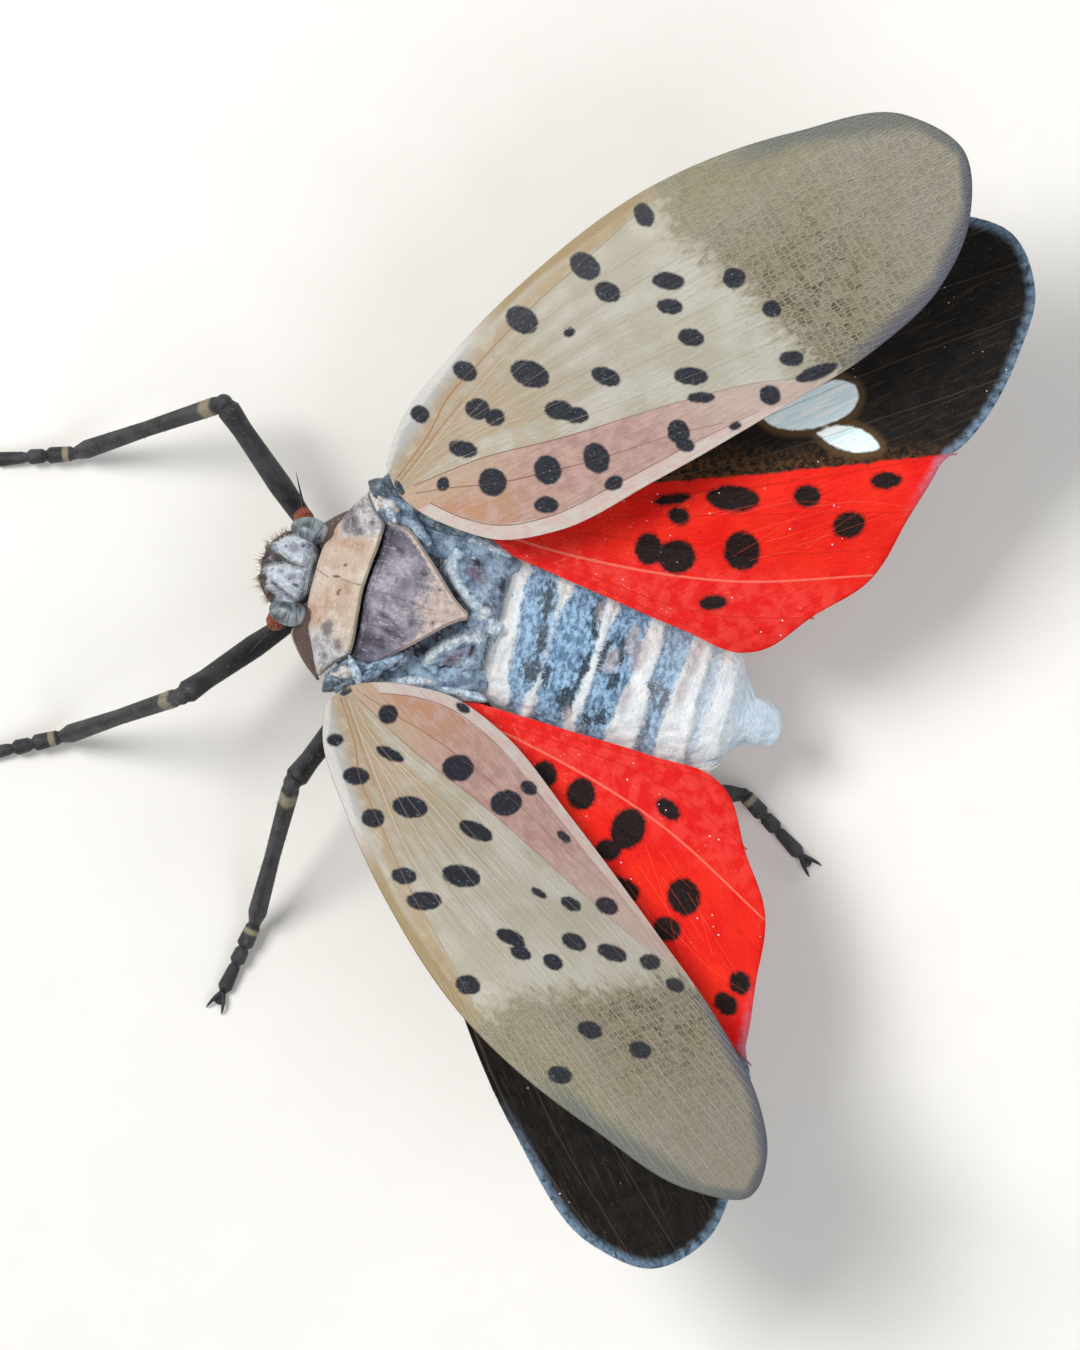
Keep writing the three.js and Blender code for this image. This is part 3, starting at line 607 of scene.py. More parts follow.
# Zones of the forewing: each a signed distance in millimetres
def forewingZones(s, c, pixels):
    kinds = ("suture", "band", "costa", "lead", "trail")
    suture, band, costa, lead, trail = (along(forewingLines[kind], s) for kind in kinds)
    # shade beside the veins of the disc, which fades outwards
    beside = np.full(s.shape, outside)
    for path, *_ in forewingVeins[:7]:
        line = smoothCurve(path, wingMesh["veinSteps"])
        for start, end in zip(line[:-1], line[1:]):
            way = end - start
            share = np.clip(((s - start[0]) * way[0] + (c - start[1]) * way[1]) / (way @ way), 0, 1)
            beside = np.minimum(beside, np.hypot(s - start[0] - share * way[0], c - start[1] - share * way[1]))
    return {
        "net": s - along(forewingLines["net"], c),
        "clavus": suture - c,
        "band": band - c,
        "costa": c - costa,
        "rim": np.minimum(lead - c, c - trail),
        "beside": beside,
    }


# Two colours are mixed by noise, or from the tip to the root
forewingColours = {
    "disc": ((166, 161, 144), (180, 176, 165)), "streak": (153, 146, 127), "discRoot": (169, 151, 125),
    "besideVein": ((144, 135, 114), (162, 131, 98)), "bleached": (196, 194, 188),
    "pink": ((180, 148, 138), (162, 128, 121)), "pinkStreak": (187, 166, 155), "pinkBlots": (194, 171, 166),
    "beige": (178, 154, 134), "orange": ((187, 140, 103), (171, 131, 98)), "outer": (182, 167, 156),
    "band": ((194, 171, 164), (193, 184, 175)), "strip": ((166, 171, 171), (169, 164, 144)),
    "stripEdge": (162, 137, 105), "stripPale": (185, 180, 162), "tan": ((155, 130, 96), (148, 135, 103)),
    "whiteEdge": (196, 193, 190), "net": ((144, 137, 112), (149, 143, 125)), "netEnd": (149, 144, 134),
    "cells": ((76, 65, 50), (122, 112, 90)), "cellsPale": (164, 158, 142),
    "greyRim": ((86, 88, 103), (104, 108, 103)), "creamVein": ((176, 173, 158), (184, 175, 155)),
    "orangeVein": ((153, 135, 109), (162, 113, 74)), "brownVein": ((131, 101, 90), (113, 76, 61)),
    "ink": ((22, 22, 32), (46, 50, 64)), "dusting": (85, 113, 121),
}


def forewingMaterial():
    material, tree, shader = newMaterial("forewing_membrane")
    hue = forewingColours
    where, fine = wingPlace(tree), place(tree)
    vein, clavus, costa, rim = (read(tree, name) for name in ("vein", "clavus", "costa", "rim"))
    lengthwise, crosswise = read(tree, "lengthwise"), read(tree, "crosswise")
    broad = noise(where, 0.45, 4)
    cloud = noise(where, 1.9, 4)
    streak = noise(wingPlace(tree, (0.6, 7)), 1, 4)  # lines that run along the wing
    blots = noise(where, 4.5, 4, 0.65)
    grain = noise(fine, 14, 4, 0.7)
    near = rise(lengthwise, 9, 3)
    beside = times(rise(read(tree, "beside"), 0.34, 0.05), rise(lengthwise, 13, 5, 0.45))
    disc = painted(
        blend(rise(broad, 0.38, 0.62), *hue["disc"]),
        (rise(streak, 0.5, 0.7, 0.28), hue["streak"]),
        (times(near, rise(cloud, 0.4, 0.6, 0.55)), hue["discRoot"]),
        (beside, blend(near, *hue["besideVein"])),
        (rise(blots, 0.62, 0.74, 0.3), hue["bleached"]),
    )
    # claval area: orange at its root, beige before its first vein, pink further out
    orange = times(rise(lengthwise, 5.4, 1.6, 0.85), rise(clavus, 0.2, 1.3))
    pink = painted(
        blend(rise(cloud, 0.35, 0.65), *hue["pink"]),
        (rise(streak, 0.5, 0.7, 0.4), hue["pinkStreak"]),
        (rise(blots, 0.58, 0.7, 0.45), hue["pinkBlots"]),
        (times(rise(lengthwise, 5.0, 2.0), rise(clavus, 1.3, 0.5)), hue["beige"]),
        (times(orange, rise(torn(cloud, blots, 0.6), 0.3, 0.66)), blend(blots, *hue["orange"])),
        (rise(lengthwise, 7.5, 11.5, 0.7), hue["outer"]),
    )
    # leading strip: bluish white near the root, tan towards the vein and further out
    strip = painted(
        blend(rise(lengthwise, 3, 10), *hue["strip"]),
        (rise(costa, 0.75, 0.1, 0.8), hue["stripEdge"]),
        (rise(cloud, 0.45, 0.65, 0.5), hue["stripPale"]),
    )
    inStrip = rise(costa, -0.02, 0.1)
    edge = rise(rim, 0.3, 0.12)
    stigma = rise(unsigned(minus(lengthwise, 11.2)), 3.2, 0.8)
    tan = times(larger(times(edge, rise(lengthwise, 2.5, 5.5)), times(stigma, 0.55)), inStrip)
    whiteEdge = times(times(edge, rise(lengthwise, 6.5, 3.5)), inStrip)
    # netted tip: closed cells, paler towards the leading edge and the margin
    drift = addNode(tree, "TexNoise", {"Vector": where, "Scale": 0.9}).outputs[1]
    drift = addNode(tree, "VectorMath", {0: drift, 1: (0.9, 0.9, 0)}, operation="MULTIPLY").outputs[0]
    bent = addNode(tree, "VectorMath", {0: wingPlace(tree, (4.2, 9.0)), 1: drift}, operation="ADD").outputs[0]
    cells = cellular(bent, 1.0, 0.7, voronoi_dimensions="2D")["Color"]
    walls = cellular(bent, 1.0, 0.7, voronoi_dimensions="2D", feature="DISTANCE_TO_EDGE")["Distance"]
    shade = addNode(tree, "SeparateColor", {"Color": cells}).outputs[0]
    netEdge = torn(torn(read(tree, "net"), cloud, 1.8), shade, 0.7)
    net = rise(netEdge, -0.9, 0.5)
    inCell = times(rise(walls, 0.02, 0.22), rise(netEdge, -0.3, 0.3))
    strong = times(rise(crosswise, 3.0, -0.6), rise(lengthwise, 19.5, 14.5))
    strong = plus(times(strong, 0.6), 0.28)
    strong = times(strong, plus(0.55, times(rise(cloud, 0.35, 0.65), 0.6)))
    greyRim = times(rise(rim, 0.7, 0.1), rise(lengthwise, 13.8, 16.5))
    tip = painted(
        blend(rise(noise(where, 0.7, 3), 0.35, 0.65), *hue["net"]),
        (rise(lengthwise, 15.5, 19.5, 0.6), hue["netEnd"]),
        (rise(shade, 0.3, 0.9, 0.15), hue["cellsPale"]),
        (times(inCell, strong), blend(rise(shade, 0.2, 0.8), *hue["cells"])),
        (times(greyRim, 0.9), blend(rise(crosswise, -1, 2), *hue["greyRim"])),
    )
    # veins by their kinds, and dark marks with a bluish dusting
    veinColour = painted(
        blend(near, *hue["creamVein"]),
        (rise(vein, 1.4, 1.6), blend(rise(lengthwise, 7.5, 2.5), *hue["orangeVein"])),
        (rise(vein, 2.4, 2.6), blend(near, *hue["brownVein"])),
    )
    isVein = larger(times(rise(vein, 0.4, 0.6, 0.75), rise(lengthwise, 20, 5)), rise(vein, 0.4, 0.6, 0.4))
    mark = rise(torn(read(tree, "spot"), blots, 0.14), 0.05, -0.05)
    mark = times(mark, minus(1.0, times(isVein, 0.25)))
    ink = blend(rise(grain, 0.45, 0.7), *hue["ink"])
    colour = painted(
        disc,
        (rise(plus(clavus, times(cloud, 0.06)), -0.02, 0.06), pink),
        (rise(torn(read(tree, "band"), blots, 0.1), -0.02, 0.06), blend(rise(cloud, 0.38, 0.62), *hue["band"])),
        (inStrip, strip),
        (tan, blend(cloud, *hue["tan"])),
        (whiteEdge, hue["whiteEdge"]),
        (net, tip),
        (isVein, veinColour),
        (mark, blend(rise(noise(fine, 8, 3, 0.7), 0.6, 0.68, 0.75), ink, hue["dusting"])),
    )
    relief = weighted((streak, 0.7), (grain, 0.35), (times(inCell, net), -0.35), (blots, 0.5))
    finishShader(shader, colour, minus(0.62, times(mark, 0.16)), relief, 0.06)
    shader.inputs["Specular IOR Level"].default_value = 0.35
    return material


# Hindwing: marks in the photograph's pixels, and the edge of its dark outer part
hindwingMarks = {
    "right": [(672.5, 499, 37, 11, -8), (679, 516, 22, 18, 20), (733, 498.5, 53, 26, 4), (807, 496, 27, 22, 0),
        (886, 480.5, 31, 17, -4), (849, 525, 33, 26, -20), (648.5, 549, 27, 32, 0), (676.5, 556.5, 38, 34, 0),
        (742, 551, 36, 39, 0), (713, 602.5, 28, 15, -5), (867.5, 453, 24, 9, -8)],
    "left": [(545, 774, 24, 27, -20), (581, 794, 29, 32, 0), (628, 829, 34, 42, 20), (608, 850, 26, 22, 0),
        (624, 889, 34, 20, 30), (684, 897, 32, 38, -20), (667, 929, 28, 24, 20), (668, 809, 28, 17, 40),
        (740, 983, 21, 24, -20), (726, 1004, 26, 20, 45)],
}
paleMarks = {
    "right": [[(762, 418), (775, 407), (792, 396), (815, 386), (843, 380), (856, 386), (859, 397), (853, 410),
        (838, 420), (815, 428), (790, 430), (772, 426)], [(816, 433), (832, 426), (855, 427), (872, 436), (880, 448),
        (868, 452), (846, 451), (828, 443)]],
    "left": [[(702, 1062), (718, 1052), (734, 1062), (742, 1092), (738, 1124), (722, 1138), (708, 1120), (700, 1090)],
        [(752, 1062), (764, 1064), (772, 1086), (766, 1112), (752, 1106), (748, 1084)]],
}
darkEdge = [(2.0, 0.0), (5.7, -1.25), (10.0, -2.75), (15.1, -4.4), (17, -4.7)]  # plan line between red and dark
hindwingVeins = [
    ([(0.3, 0.5), (3, 1.5), (8, 2.7), (14, 3.12), (18.2, 2.45)], 0.09, 0.045, 2),
    ([(0.3, 0.2), (4, 0.8), (9, 1.7), (14, 2.1), (19.2, 1.7)], 0.055, 0.03, 2),
    ([(0.4, 0.0), (5, 0.2), (10, 0.6), (15, 0.7), (19.8, 0.3)], 0.05, 0.028, 2),
    ([(0.5, -0.1), (5, -0.6), (10, -0.9), (15, -1.0), (19.4, -1.3)], 0.05, 0.028, 2),
    ([(0.5, -0.2), (4, -0.8), (9, -1.9), (14, -2.5), (18.0, -2.9)], 0.05, 0.028, 2),
    ([(0.5, -0.3), (4, -1.2), (9, -2.8), (15.4, -4.5)], 0.05, 0.028, 1),
    ([(0.5, -0.4), (4, -1.7), (8.6, -3.6), (13.3, -5.6)], 0.04, 0.025, 1),
    ([(0.5, -0.5), (3.4, -2.0), (7.6, -4.6), (12.2, -6.4)], 0.04, 0.025, 1),
    ([(0.6, -0.7), (2.6, -2.4), (7.1, -5.34), (11.3, -7.0)], 0.07, 0.05, 3),
    ([(0.7, -0.9), (2.6, -2.9), (5.8, -5.9), (9.0, -7.5)], 0.045, 0.025, 1),
    ([(0.8, -1.1), (2.6, -3.2), (4.6, -5.5), (6.6, -7.6)], 0.05, 0.03, 1),
]


# Crossing creases: short ribs through three plan points, strewn over the red part by seeded chance
creases = {
    "count": 12, "seed": 5, "from": 4, "to": 12.5, "turn": 0.1, "spread": 0.22, "reach": (0.8, 2.2),
    "halfWidth": (0.013, 0.008),
}


def hindwingCreases():
    random = np.random.default_rng(creases["seed"])
    made = []
    while len(made) < creases["count"]:
        s, turn = random.uniform(creases["from"], creases["to"]), random.normal(creases["turn"], creases["spread"])
        c = -s * random.uniform(0.32, 0.62)
        reach = random.uniform(*creases["reach"])
        ahead, aside = reach * math.cos(turn), reach * math.sin(turn)
        start, end = (s - ahead, c + aside * 0.8), (s + ahead * 0.8, c - aside)
        path = [start, (s, c + random.normal(0, 0.06)), end]
        lowest = -7.4 + 0.25 * max(0, end[0] - 9) ** 1.2
        if end[1] > lowest and start[0] > 2.5 and start[1] > -start[0] * 0.85:
            made.append((path, *creases["halfWidth"], 4))
    return made


def hindwingZones(sideName):
    def zones(s, c, pixels):
        lead = along(hindwing["margin"][:6], s)
        outline = smoothCurve(hindwing["margin"], 400)[90:330:4]
        away = np.full(s.shape, outside)
        for point in outline:
            away = np.minimum(away, np.hypot(s - point[0], c - point[1]))
        return {
            "dark": c - along(darkEdge, s),
            "rim": np.minimum(away, np.abs(lead - c) + 0.3),
            "pale": areaDepth(pixels, paleMarks[sideName]),
            "anal": -c - s * 0.62,
        }

    return zones


hindwingColours = {
    "red": ((222, 12, 5), (234, 38, 14)), "deepRed": (196, 8, 8), "lightRed": (242, 72, 42),
    "inner": ((212, 16, 16), (224, 56, 50)), "crease": (244, 124, 98), "chalk": (252, 206, 196),
    "black": ((9, 7, 6), (26, 19, 13)), "brown": (96, 62, 30), "lines": (64, 54, 42), "flecks": (122, 110, 96),
    "rusty": (96, 72, 44), "pale": ((222, 244, 250), (250, 254, 254)), "vein": ((206, 40, 26), (238, 122, 104)),
    "fineVein": (240, 110, 90), "darkVein": ((70, 60, 50), (204, 224, 228)), "halo": (118, 16, 12),
    "ink": ((18, 9, 9), (58, 26, 22)), "bloom": ((96, 122, 148), (150, 176, 200)), "dust": (236, 240, 244),
}


def hindwingMaterial():
    material, tree, shader = newMaterial("hindwing_membrane")
    hue = hindwingColours
    where, fine = wingPlace(tree), place(tree)
    vein, lengthwise = read(tree, "vein"), read(tree, "lengthwise")
    broad = noise(where, 0.6, 3)
    cloud = noise(where, 2.0, 4)
    blots = noise(where, 5, 4, 0.65)
    grain = noise(fine, 12, 4, 0.7)
    scratch = noise(wingPlace(tree, (1.0, 12)), 1, 5, 0.65, 1.5)  # fine creases that run out to the margin
    crease = times(rise(scratch, 0.6, 0.74), rise(cloud, 0.4, 0.6))
    chalky = times(rise(grain, 0.62, 0.7), times(rise(lengthwise, 7.5, 3.0), rise(cloud, 0.45, 0.6)))
    red = painted(
        blend(rise(broad, 0.3, 0.7), *hue["red"]),
        (rise(cloud, 0.58, 0.72, 0.55), hue["deepRed"]),
        (rise(blots, 0.6, 0.74, 0.25), hue["lightRed"]),
        (times(rise(read(tree, "anal"), -0.4, 1.4), 0.8), blend(rise(cloud, 0.4, 0.6), *hue["inner"])),
        (times(crease, 0.45), hue["crease"]),
        (times(chalky, 0.8), hue["chalk"]),
    )
    # dark outer part, with its pale patches
    dark = rise(torn(read(tree, "dark"), cloud, 0.25), -0.05, 0.07)
    brown = rise(plus(read(tree, "dark"), times(lengthwise, 0.1)), 2.3, 1.2, 0.8)
    black = painted(
        blend(rise(cloud, 0.38, 0.68), *hue["black"]),
        (times(brown, rise(blots, 0.4, 0.62)), hue["brown"]),
        (times(rise(noise(wingPlace(tree, (0.7, 9)), 1, 4), 0.54, 0.66), 0.4), hue["lines"]),
        (times(rise(grain, 0.62, 0.72), rise(lengthwise, 12, 17, 0.5)), hue["flecks"]),
    )
    paleEdge = torn(read(tree, "pale"), blots, 0.12)
    pale = times(rise(paleEdge, 0.04, -0.06), dark)
    patch = blend(rise(noise(wingPlace(tree, (0.8, 8)), 1, 3), 0.42, 0.62), *hue["pale"])
    inRed = blend(rise(vein, 3.5, 3.6), blend(rise(vein, 2.5, 2.6), *hue["vein"]), hue["fineVein"])
    # dark marks with a halo at their edges, grains of wax, and the bloom along the outer margin
    spot = torn(torn(read(tree, "spot"), blots, 0.22), grain, 0.1)
    notDark = minus(1.0, larger(dark, rise(vein, 3.5, 3.6, 0.6)))
    bloom = times(rise(read(tree, "rim"), 0.42, 0.06), rise(lengthwise, 12.5, 16))
    dust = times(rise(cellular(fine, 2.6, 1.0)["Distance"], 0.09, 0.045), rise(noise(where, 0.5, 2), 0.5, 0.58))
    colour = painted(
        red,
        (dark, black),
        (times(rise(paleEdge, 0.32, 0.1, 0.7), dark), hue["rusty"]),
        (pale, patch),
        (rise(vein, 0.4, 0.6, 0.7), blend(dark, inRed, blend(pale, *hue["darkVein"]))),
        (times(rise(spot, 0.1, 0.0, 0.6), notDark), hue["halo"]),
        (times(rise(spot, 0.02, -0.06), notDark), blend(rise(grain, 0.48, 0.7), *hue["ink"])),
        (times(bloom, rise(blots, 0.25, 0.55, 0.9)), blend(cloud, *hue["bloom"])),
        (times(dust, 0.9), hue["dust"]),
    )
    relief = weighted((scratch, 0.8), (grain, 0.3), (blots, 0.4))
    finishShader(shader, colour, plus(0.4, times(pale, 0.35)), relief, 0.06)
    shader.inputs["Specular IOR Level"].default_value = 0.14
    return material


foreMaterial, hindMaterial = forewingMaterial(), hindwingMaterial()
foreRibs, hindRibs = forewingVeins + netVeins(), hindwingVeins + hindwingCreases()
for sideName in sides:
    makeWing("forewing", sideName, forewing, forewingMarks[sideName], foreRibs, forewingZones, foreMaterial)
    makeWing("hindwing", sideName, hindwing, hindwingMarks[sideName], hindRibs, hindwingZones(sideName), hindMaterial)
print("wings made")

# Rows of (x, measure) from tail to front. The abdomen bends to the left by turn degrees, and a ring starts at
# each x of rings
body = {
    "front": 0.9, "tail": -15.0,
    "halfWidth": [(-15.0, 0.35), (-14.85, 0.62), (-14.4, 0.78), (-13.95, 0.8), (-13.6, 1.2), (-13.1, 1.98),
        (-12, 2.42), (-9.5, 2.72), (-7, 2.6), (-6.2, 2.56), (-5.6, 2.46), (-5.15, 2.3), (-4.2, 2.2), (-2.4, 2.35),
        (-0.6, 2.4), (0.4, 2.0), (0.9, 1.2)],
    "top": [(-15.0, 3.8), (-14.4, 4.1), (-13.95, 4.15), (-13.6, 4.3), (-13.1, 4.78), (-12, 5.18), (-9.5, 5.72),
        (-7, 5.83), (-5.6, 5.7), (-5.1, 5.9), (-4.0, 6.4), (-2.4, 6.7), (-0.6, 6.8), (0.4, 6.7), (0.9, 6.1)],
    "belly": [(-15.0, 3.3), (-14.4, 3.0), (-13.6, 2.8), (-13.1, 2.37), (-12, 1.98), (-9.5, 1.78), (-7, 2.22),
        (-5.4, 3.3), (-4.2, 3.1), (-2.4, 2.85), (-0.6, 2.95), (0.4, 3.6), (0.9, 4.5)],
    "turn": 5.5, "rings": [-5.3, -6.93, -8.66, -10.53, -12.17, -13.25, -13.75], "ringStep": 0.055, "rows": 430,
    "around": 190,
}
# Front and rear edge of each dark band of the abdomen across the back, in pixels, and how dark it is
bandEdges = [
    ([(530, 583), (524, 605), (520, 630), (514, 655), (511, 675), (513, 695)], [(555, 583), (553, 610), (547, 640),
        (542, 662), (532, 685), (520, 700)], 0.95),
    ([(576, 590), (563, 612), (556, 632), (549, 655), (543, 678), (538, 705)], [(601, 606), (598, 625), (592, 648),
        (584, 672), (574, 697), (562, 720)], 1.0),
    ([(622, 612), (610, 632), (602, 655), (598, 675), (588, 700), (580, 722)], [(646, 625), (640, 645), (630, 672),
        (620, 695), (610, 715), (603, 733)], 1.0),
    ([(667, 630), (664, 650), (657, 668), (650, 682), (653, 700), (646, 722), (640, 738)], [(690, 641), (682, 660),
        (674, 680), (667, 700), (660, 720), (653, 741)], 0.85),
    ([(716, 650), (712, 668), (704, 690), (697, 703), (700, 712)],
        [(722, 652), (717, 672), (711, 693), (708, 704), (703, 713)], 0.45),
]
# Dusk is near black, within the bands and at the rear. Blush is brownish pink: its own colour inside the third
# band's ring, and painted shade behind bands
bodyDrawing = {
    "dusk": {
        "marks": [(548, 600, 10, 40, 5), (543, 640, 9, 34, 12), (532, 670, 20, 26, 25), (596, 620, 9, 40, 8),
            (583, 672, 12, 44, 20), (566, 700, 22, 26, 20), (546, 676, 8, 26, 15), (604, 655, 12, 34, 20),
            (622, 650, 8, 34, 15), (614, 682, 12, 16, 20), (600, 716, 12, 20, 20), (588, 724, 10, 14, 0),
            (652, 690, 10, 14, 10), (663, 700, 10, 26, 20), (643, 728, 8, 16, 20)],
    },
    "blush": {
        "marks": [(612, 660, 12, 26, 20), (640, 655, 14, 34, 18), (634, 640, 12, 30, 15), (694, 660, 12, 40, 20),
            (682, 690, 10, 34, 20), (625, 700, 10, 30, 20), (600, 612, 6, 20, 10), (566, 716, 8, 14, 20)],
        "lines": [[(515, 588), (508, 602), (504, 618)], [(513, 640), (505, 655), (499, 672)],
            [(519, 630), (514, 648), (510, 668)], [(508, 632), (500, 640), (494, 655)]],
        "half": 0.02,
    },
}


# Skin of thorax and abdomen: superellipse rings along x between the tables' widths, tops and bellies. Each
# ring of the abdomen widens to its rear rim and falls behind it, and soft relief breaks up the surface
def bodySkin():
    x = np.linspace(body["front"], body["tail"], body["rows"])
    angle = circle(body["around"])
    starts = np.array(body["rings"])
    ring = np.clip(np.searchsorted(-starts, -x, side="right") - 1, -1, len(starts) - 1)
    inAbdomen = ring >= 0
    ends = np.r_[starts[1:], body["tail"]]
    share = np.where(inAbdomen, (starts[ring] - x) / (starts[ring] - ends[ring]), 0)
    lengths = np.where(inAbdomen, starts[ring] - ends[ring], 1)
    rim = np.clip((1 - share) * lengths / 0.12, 0, 1)
    swell = np.where(inAbdomen & (x > -13.8), (share - 0.45) * body["ringStep"] - 0.03 * (1 - rim), 0)
    width, top, belly = (along(body[k], x) for k in ("halfWidth", "top", "belly"))
    middle, half = (top + belly) / 2, (top - belly) / 2
    drift = math.tan(math.radians(body["turn"])) * np.maximum(0, -5.4 - x)
    rounded = lambda v: np.sign(v) * np.abs(v) ** (2 / 2.2)
    c, s = rounded(np.cos(angle)), rounded(np.sin(angle))
    rings = np.stack([
        np.broadcast_to(x[:, None], (len(x), len(angle))),
        drift[:, None] + (width * (1 + swell))[:, None] * c,
        middle[:, None] + (half * (1 + swell))[:, None] * s,
    ], -1)
    pixels = toPhoto(rings)
    below = 5.0 * (rings[..., 2] < middle[:, None])
    # each band lies between its two edges, read at the point's place across the back
    band = np.full(pixels.shape[:-1], outside)
    depth = np.zeros(pixels.shape[:-1])
    for front, rear, dark in bandEdges:
        front, rear = (fromPhoto(edge, 5.6) for edge in (front, rear))
        front, rear = (edge[np.argsort(edge[:, 1])] for edge in (front, rear))
        inside = np.maximum(rings[..., 0] - np.interp(rings[..., 1], front[:, 1], front[:, 0]),
                            np.interp(rings[..., 1], rear[:, 1], rear[:, 0]) - rings[..., 0])
        depth = np.where(inside < band, dark, depth)
        band = np.minimum(band, inside)
    dusk, blush = (drawn(pixels, **bodyDrawing[k]) + below for k in ("dusk", "blush"))
    chest = smoothstep(x, -5.5, -4.9)[:, None] + 0 * band
    outward = np.stack([0 * angle, np.cos(angle), np.sin(angle)], -1)
    soft = 0.03 * ripple(rings, 1.0, 3) + 0.022 * ripple(rings * [1, 1.6, 1.6], 0.5, 4)
    soft += 0.014 * ripple(rings, 0.24, 5)
    soft += chest * 0.1 * ripple(rings * [1, 1, 1.4], 1.6, 6) - 0.04 * smoothstep(-band, -0.1, 0.1) * (1 - chest)
    soft -= 0.05 * hump(lineDistance(pixels, bodyDrawing["blush"]["lines"]), 0.05) * (below == 0)
    rings = rings + (soft - 0.02)[..., None] * outward
    return closedRings(rings, band=band, depth=depth, dusk=dusk, blush=blush, chest=chest, ahead=rings[..., 0])


# Blush is brownish pink, and also stands for painted shade behind the abdomen's bands
bodyColours = {
    "wax": ((250, 252, 253), (224, 234, 241)), "warmWax": (242, 233, 225), "tail": ((214, 230, 242), (176, 202, 222)),
    "waxFlecks": (176, 198, 214), "band": ((94, 128, 164), (166, 204, 236)), "bandPits": (50, 68, 88),
    "dusk": ((20, 30, 38), (62, 84, 102)), "bandFlecks": (212, 230, 242), "blush": ((176, 160, 164), (204, 190, 186)),
    "flank": ((34, 40, 50), (98, 112, 128)), "flankWax": (188, 204, 212), "neck": ((46, 22, 14), (128, 66, 30)),
}


def bodyMaterial():
    material, tree, shader = newMaterial("waxed_body")
    hue = bodyColours
    fine, ahead = place(tree), read(tree, "ahead")
    broad = noise(fine, 0.9, 3)
    cloud = noise(fine, 2.4, 5, 0.65)
    blots = noise(place(tree, (1.4, 0.75, 1)), 4.6, 5, 0.65)
    tiny = noise(fine, 10, 4, 0.7)
    grain = noise(fine, 24, 3, 0.7)
    wax = painted(
        blend(rise(cloud, 0.4, 0.62), *hue["wax"]),
        (rise(broad, 0.52, 0.7, 0.6), hue["warmWax"]),
        (rise(ahead, -12.6, -13.8, 0.85), blend(cloud, *hue["tail"])),
        (rise(tiny, 0.6, 0.7, 0.35), hue["waxFlecks"]),
    )
    # bands: pale blue over dark shell, with near black patches and bright flecks
    blue = painted(
        blend(rise(blots, 0.38, 0.62), *hue["band"]),
        (rise(tiny, 0.46, 0.38, 0.55), hue["bandPits"]),
        (rise(torn(read(tree, "dusk"), blots, 0.9), 0.12, -0.1, 0.9), blend(rise(tiny, 0.4, 0.62), *hue["dusk"])),
        (rise(tiny, 0.62, 0.7, 0.75), hue["bandFlecks"]),
    )
    bandEdge = torn(torn(read(tree, "band"), cloud, 0.5), tiny, 0.25)
    band = times(rise(bandEdge, 0.18, 0.02), read(tree, "depth"))
    # blush: brownish pink inside the third band's ring, and painted shade behind the bands
    blush = rise(torn(read(tree, "blush"), cloud, 0.4), 0.14, -0.12, 0.65)
    # sides of the thorax: dark shell under wax, brown towards the neck
    flank = painted(
        blend(rise(cloud, 0.38, 0.6), *hue["flank"]),
        (rise(blots, 0.56, 0.66, 0.8), hue["flankWax"]),
        (rise(ahead, 0.1, 0.5), blend(rise(blots, 0.45, 0.6), *hue["neck"])),
    )
    colour = painted(
        wax,
        (band, blue),
        (blush, blend(rise(blots, 0.4, 0.6), *hue["blush"])),
        (read(tree, "chest"), flank),
    )
    relief = weighted((blots, 0.8), (tiny, 0.5), (grain, 0.25))
    finishShader(shader, colour, minus(0.72, times(band, 0.3)), relief, 0.16)
    return material


bodyPart = bodySkin()
makePiece("body_skin", bodyPart, bodyMaterial(), ["thorax", "abdomen", "abdomen_tip"])
print("body made")


# Finish whose colours are zones. Each zone is a value at the points, below 0 inside it, with an edge torn by
# noise; it is painted in a mix of two colours, the zones one over another
def zonedMaterial(name, look, zones):
    material, tree, shader = newMaterial(name)
    fine = place(tree)
    broad = noise(fine, look["broad"], 4)
    cloud = noise(fine, look["cloud"], 5, 0.65)
    blots = noise(fine, look["cloud"] * 2.4, 4, 0.7)
    tiny = noise(fine, 15, 4, 0.7)
    streak = noise(place(tree, look["streak"], look["turn"]), 1, 4, 0.6)
    first, second, third = look["colours"]
    colour = painted(blend(rise(cloud, 0.36, 0.62), first, second), (rise(broad, 0.5, 0.68), third))
    for valueName, one, two, tear, soft, most in zones:
        inside = rise(torn(read(tree, valueName), blots, tear), soft, -soft, most)
        colour = blend(inside, colour, blend(rise(blots, 0.4, 0.6), one, two))
    for grain, low, high, (most, tone) in (
        (streak, 0.58, 0.72, look["streaks"]), (tiny, 0.6, 0.7, look["flecks"]), (tiny, 0.38, 0.3, look["pits"])
    ):
        colour = blend(rise(grain, low, high, most), colour, tone)
    relief = weighted((blots, 0.8), (tiny, 0.5), (streak, 0.5))
    finishShader(shader, colour, torn(look["rough"], blots, 0.3), relief, look["depth"])
    return material


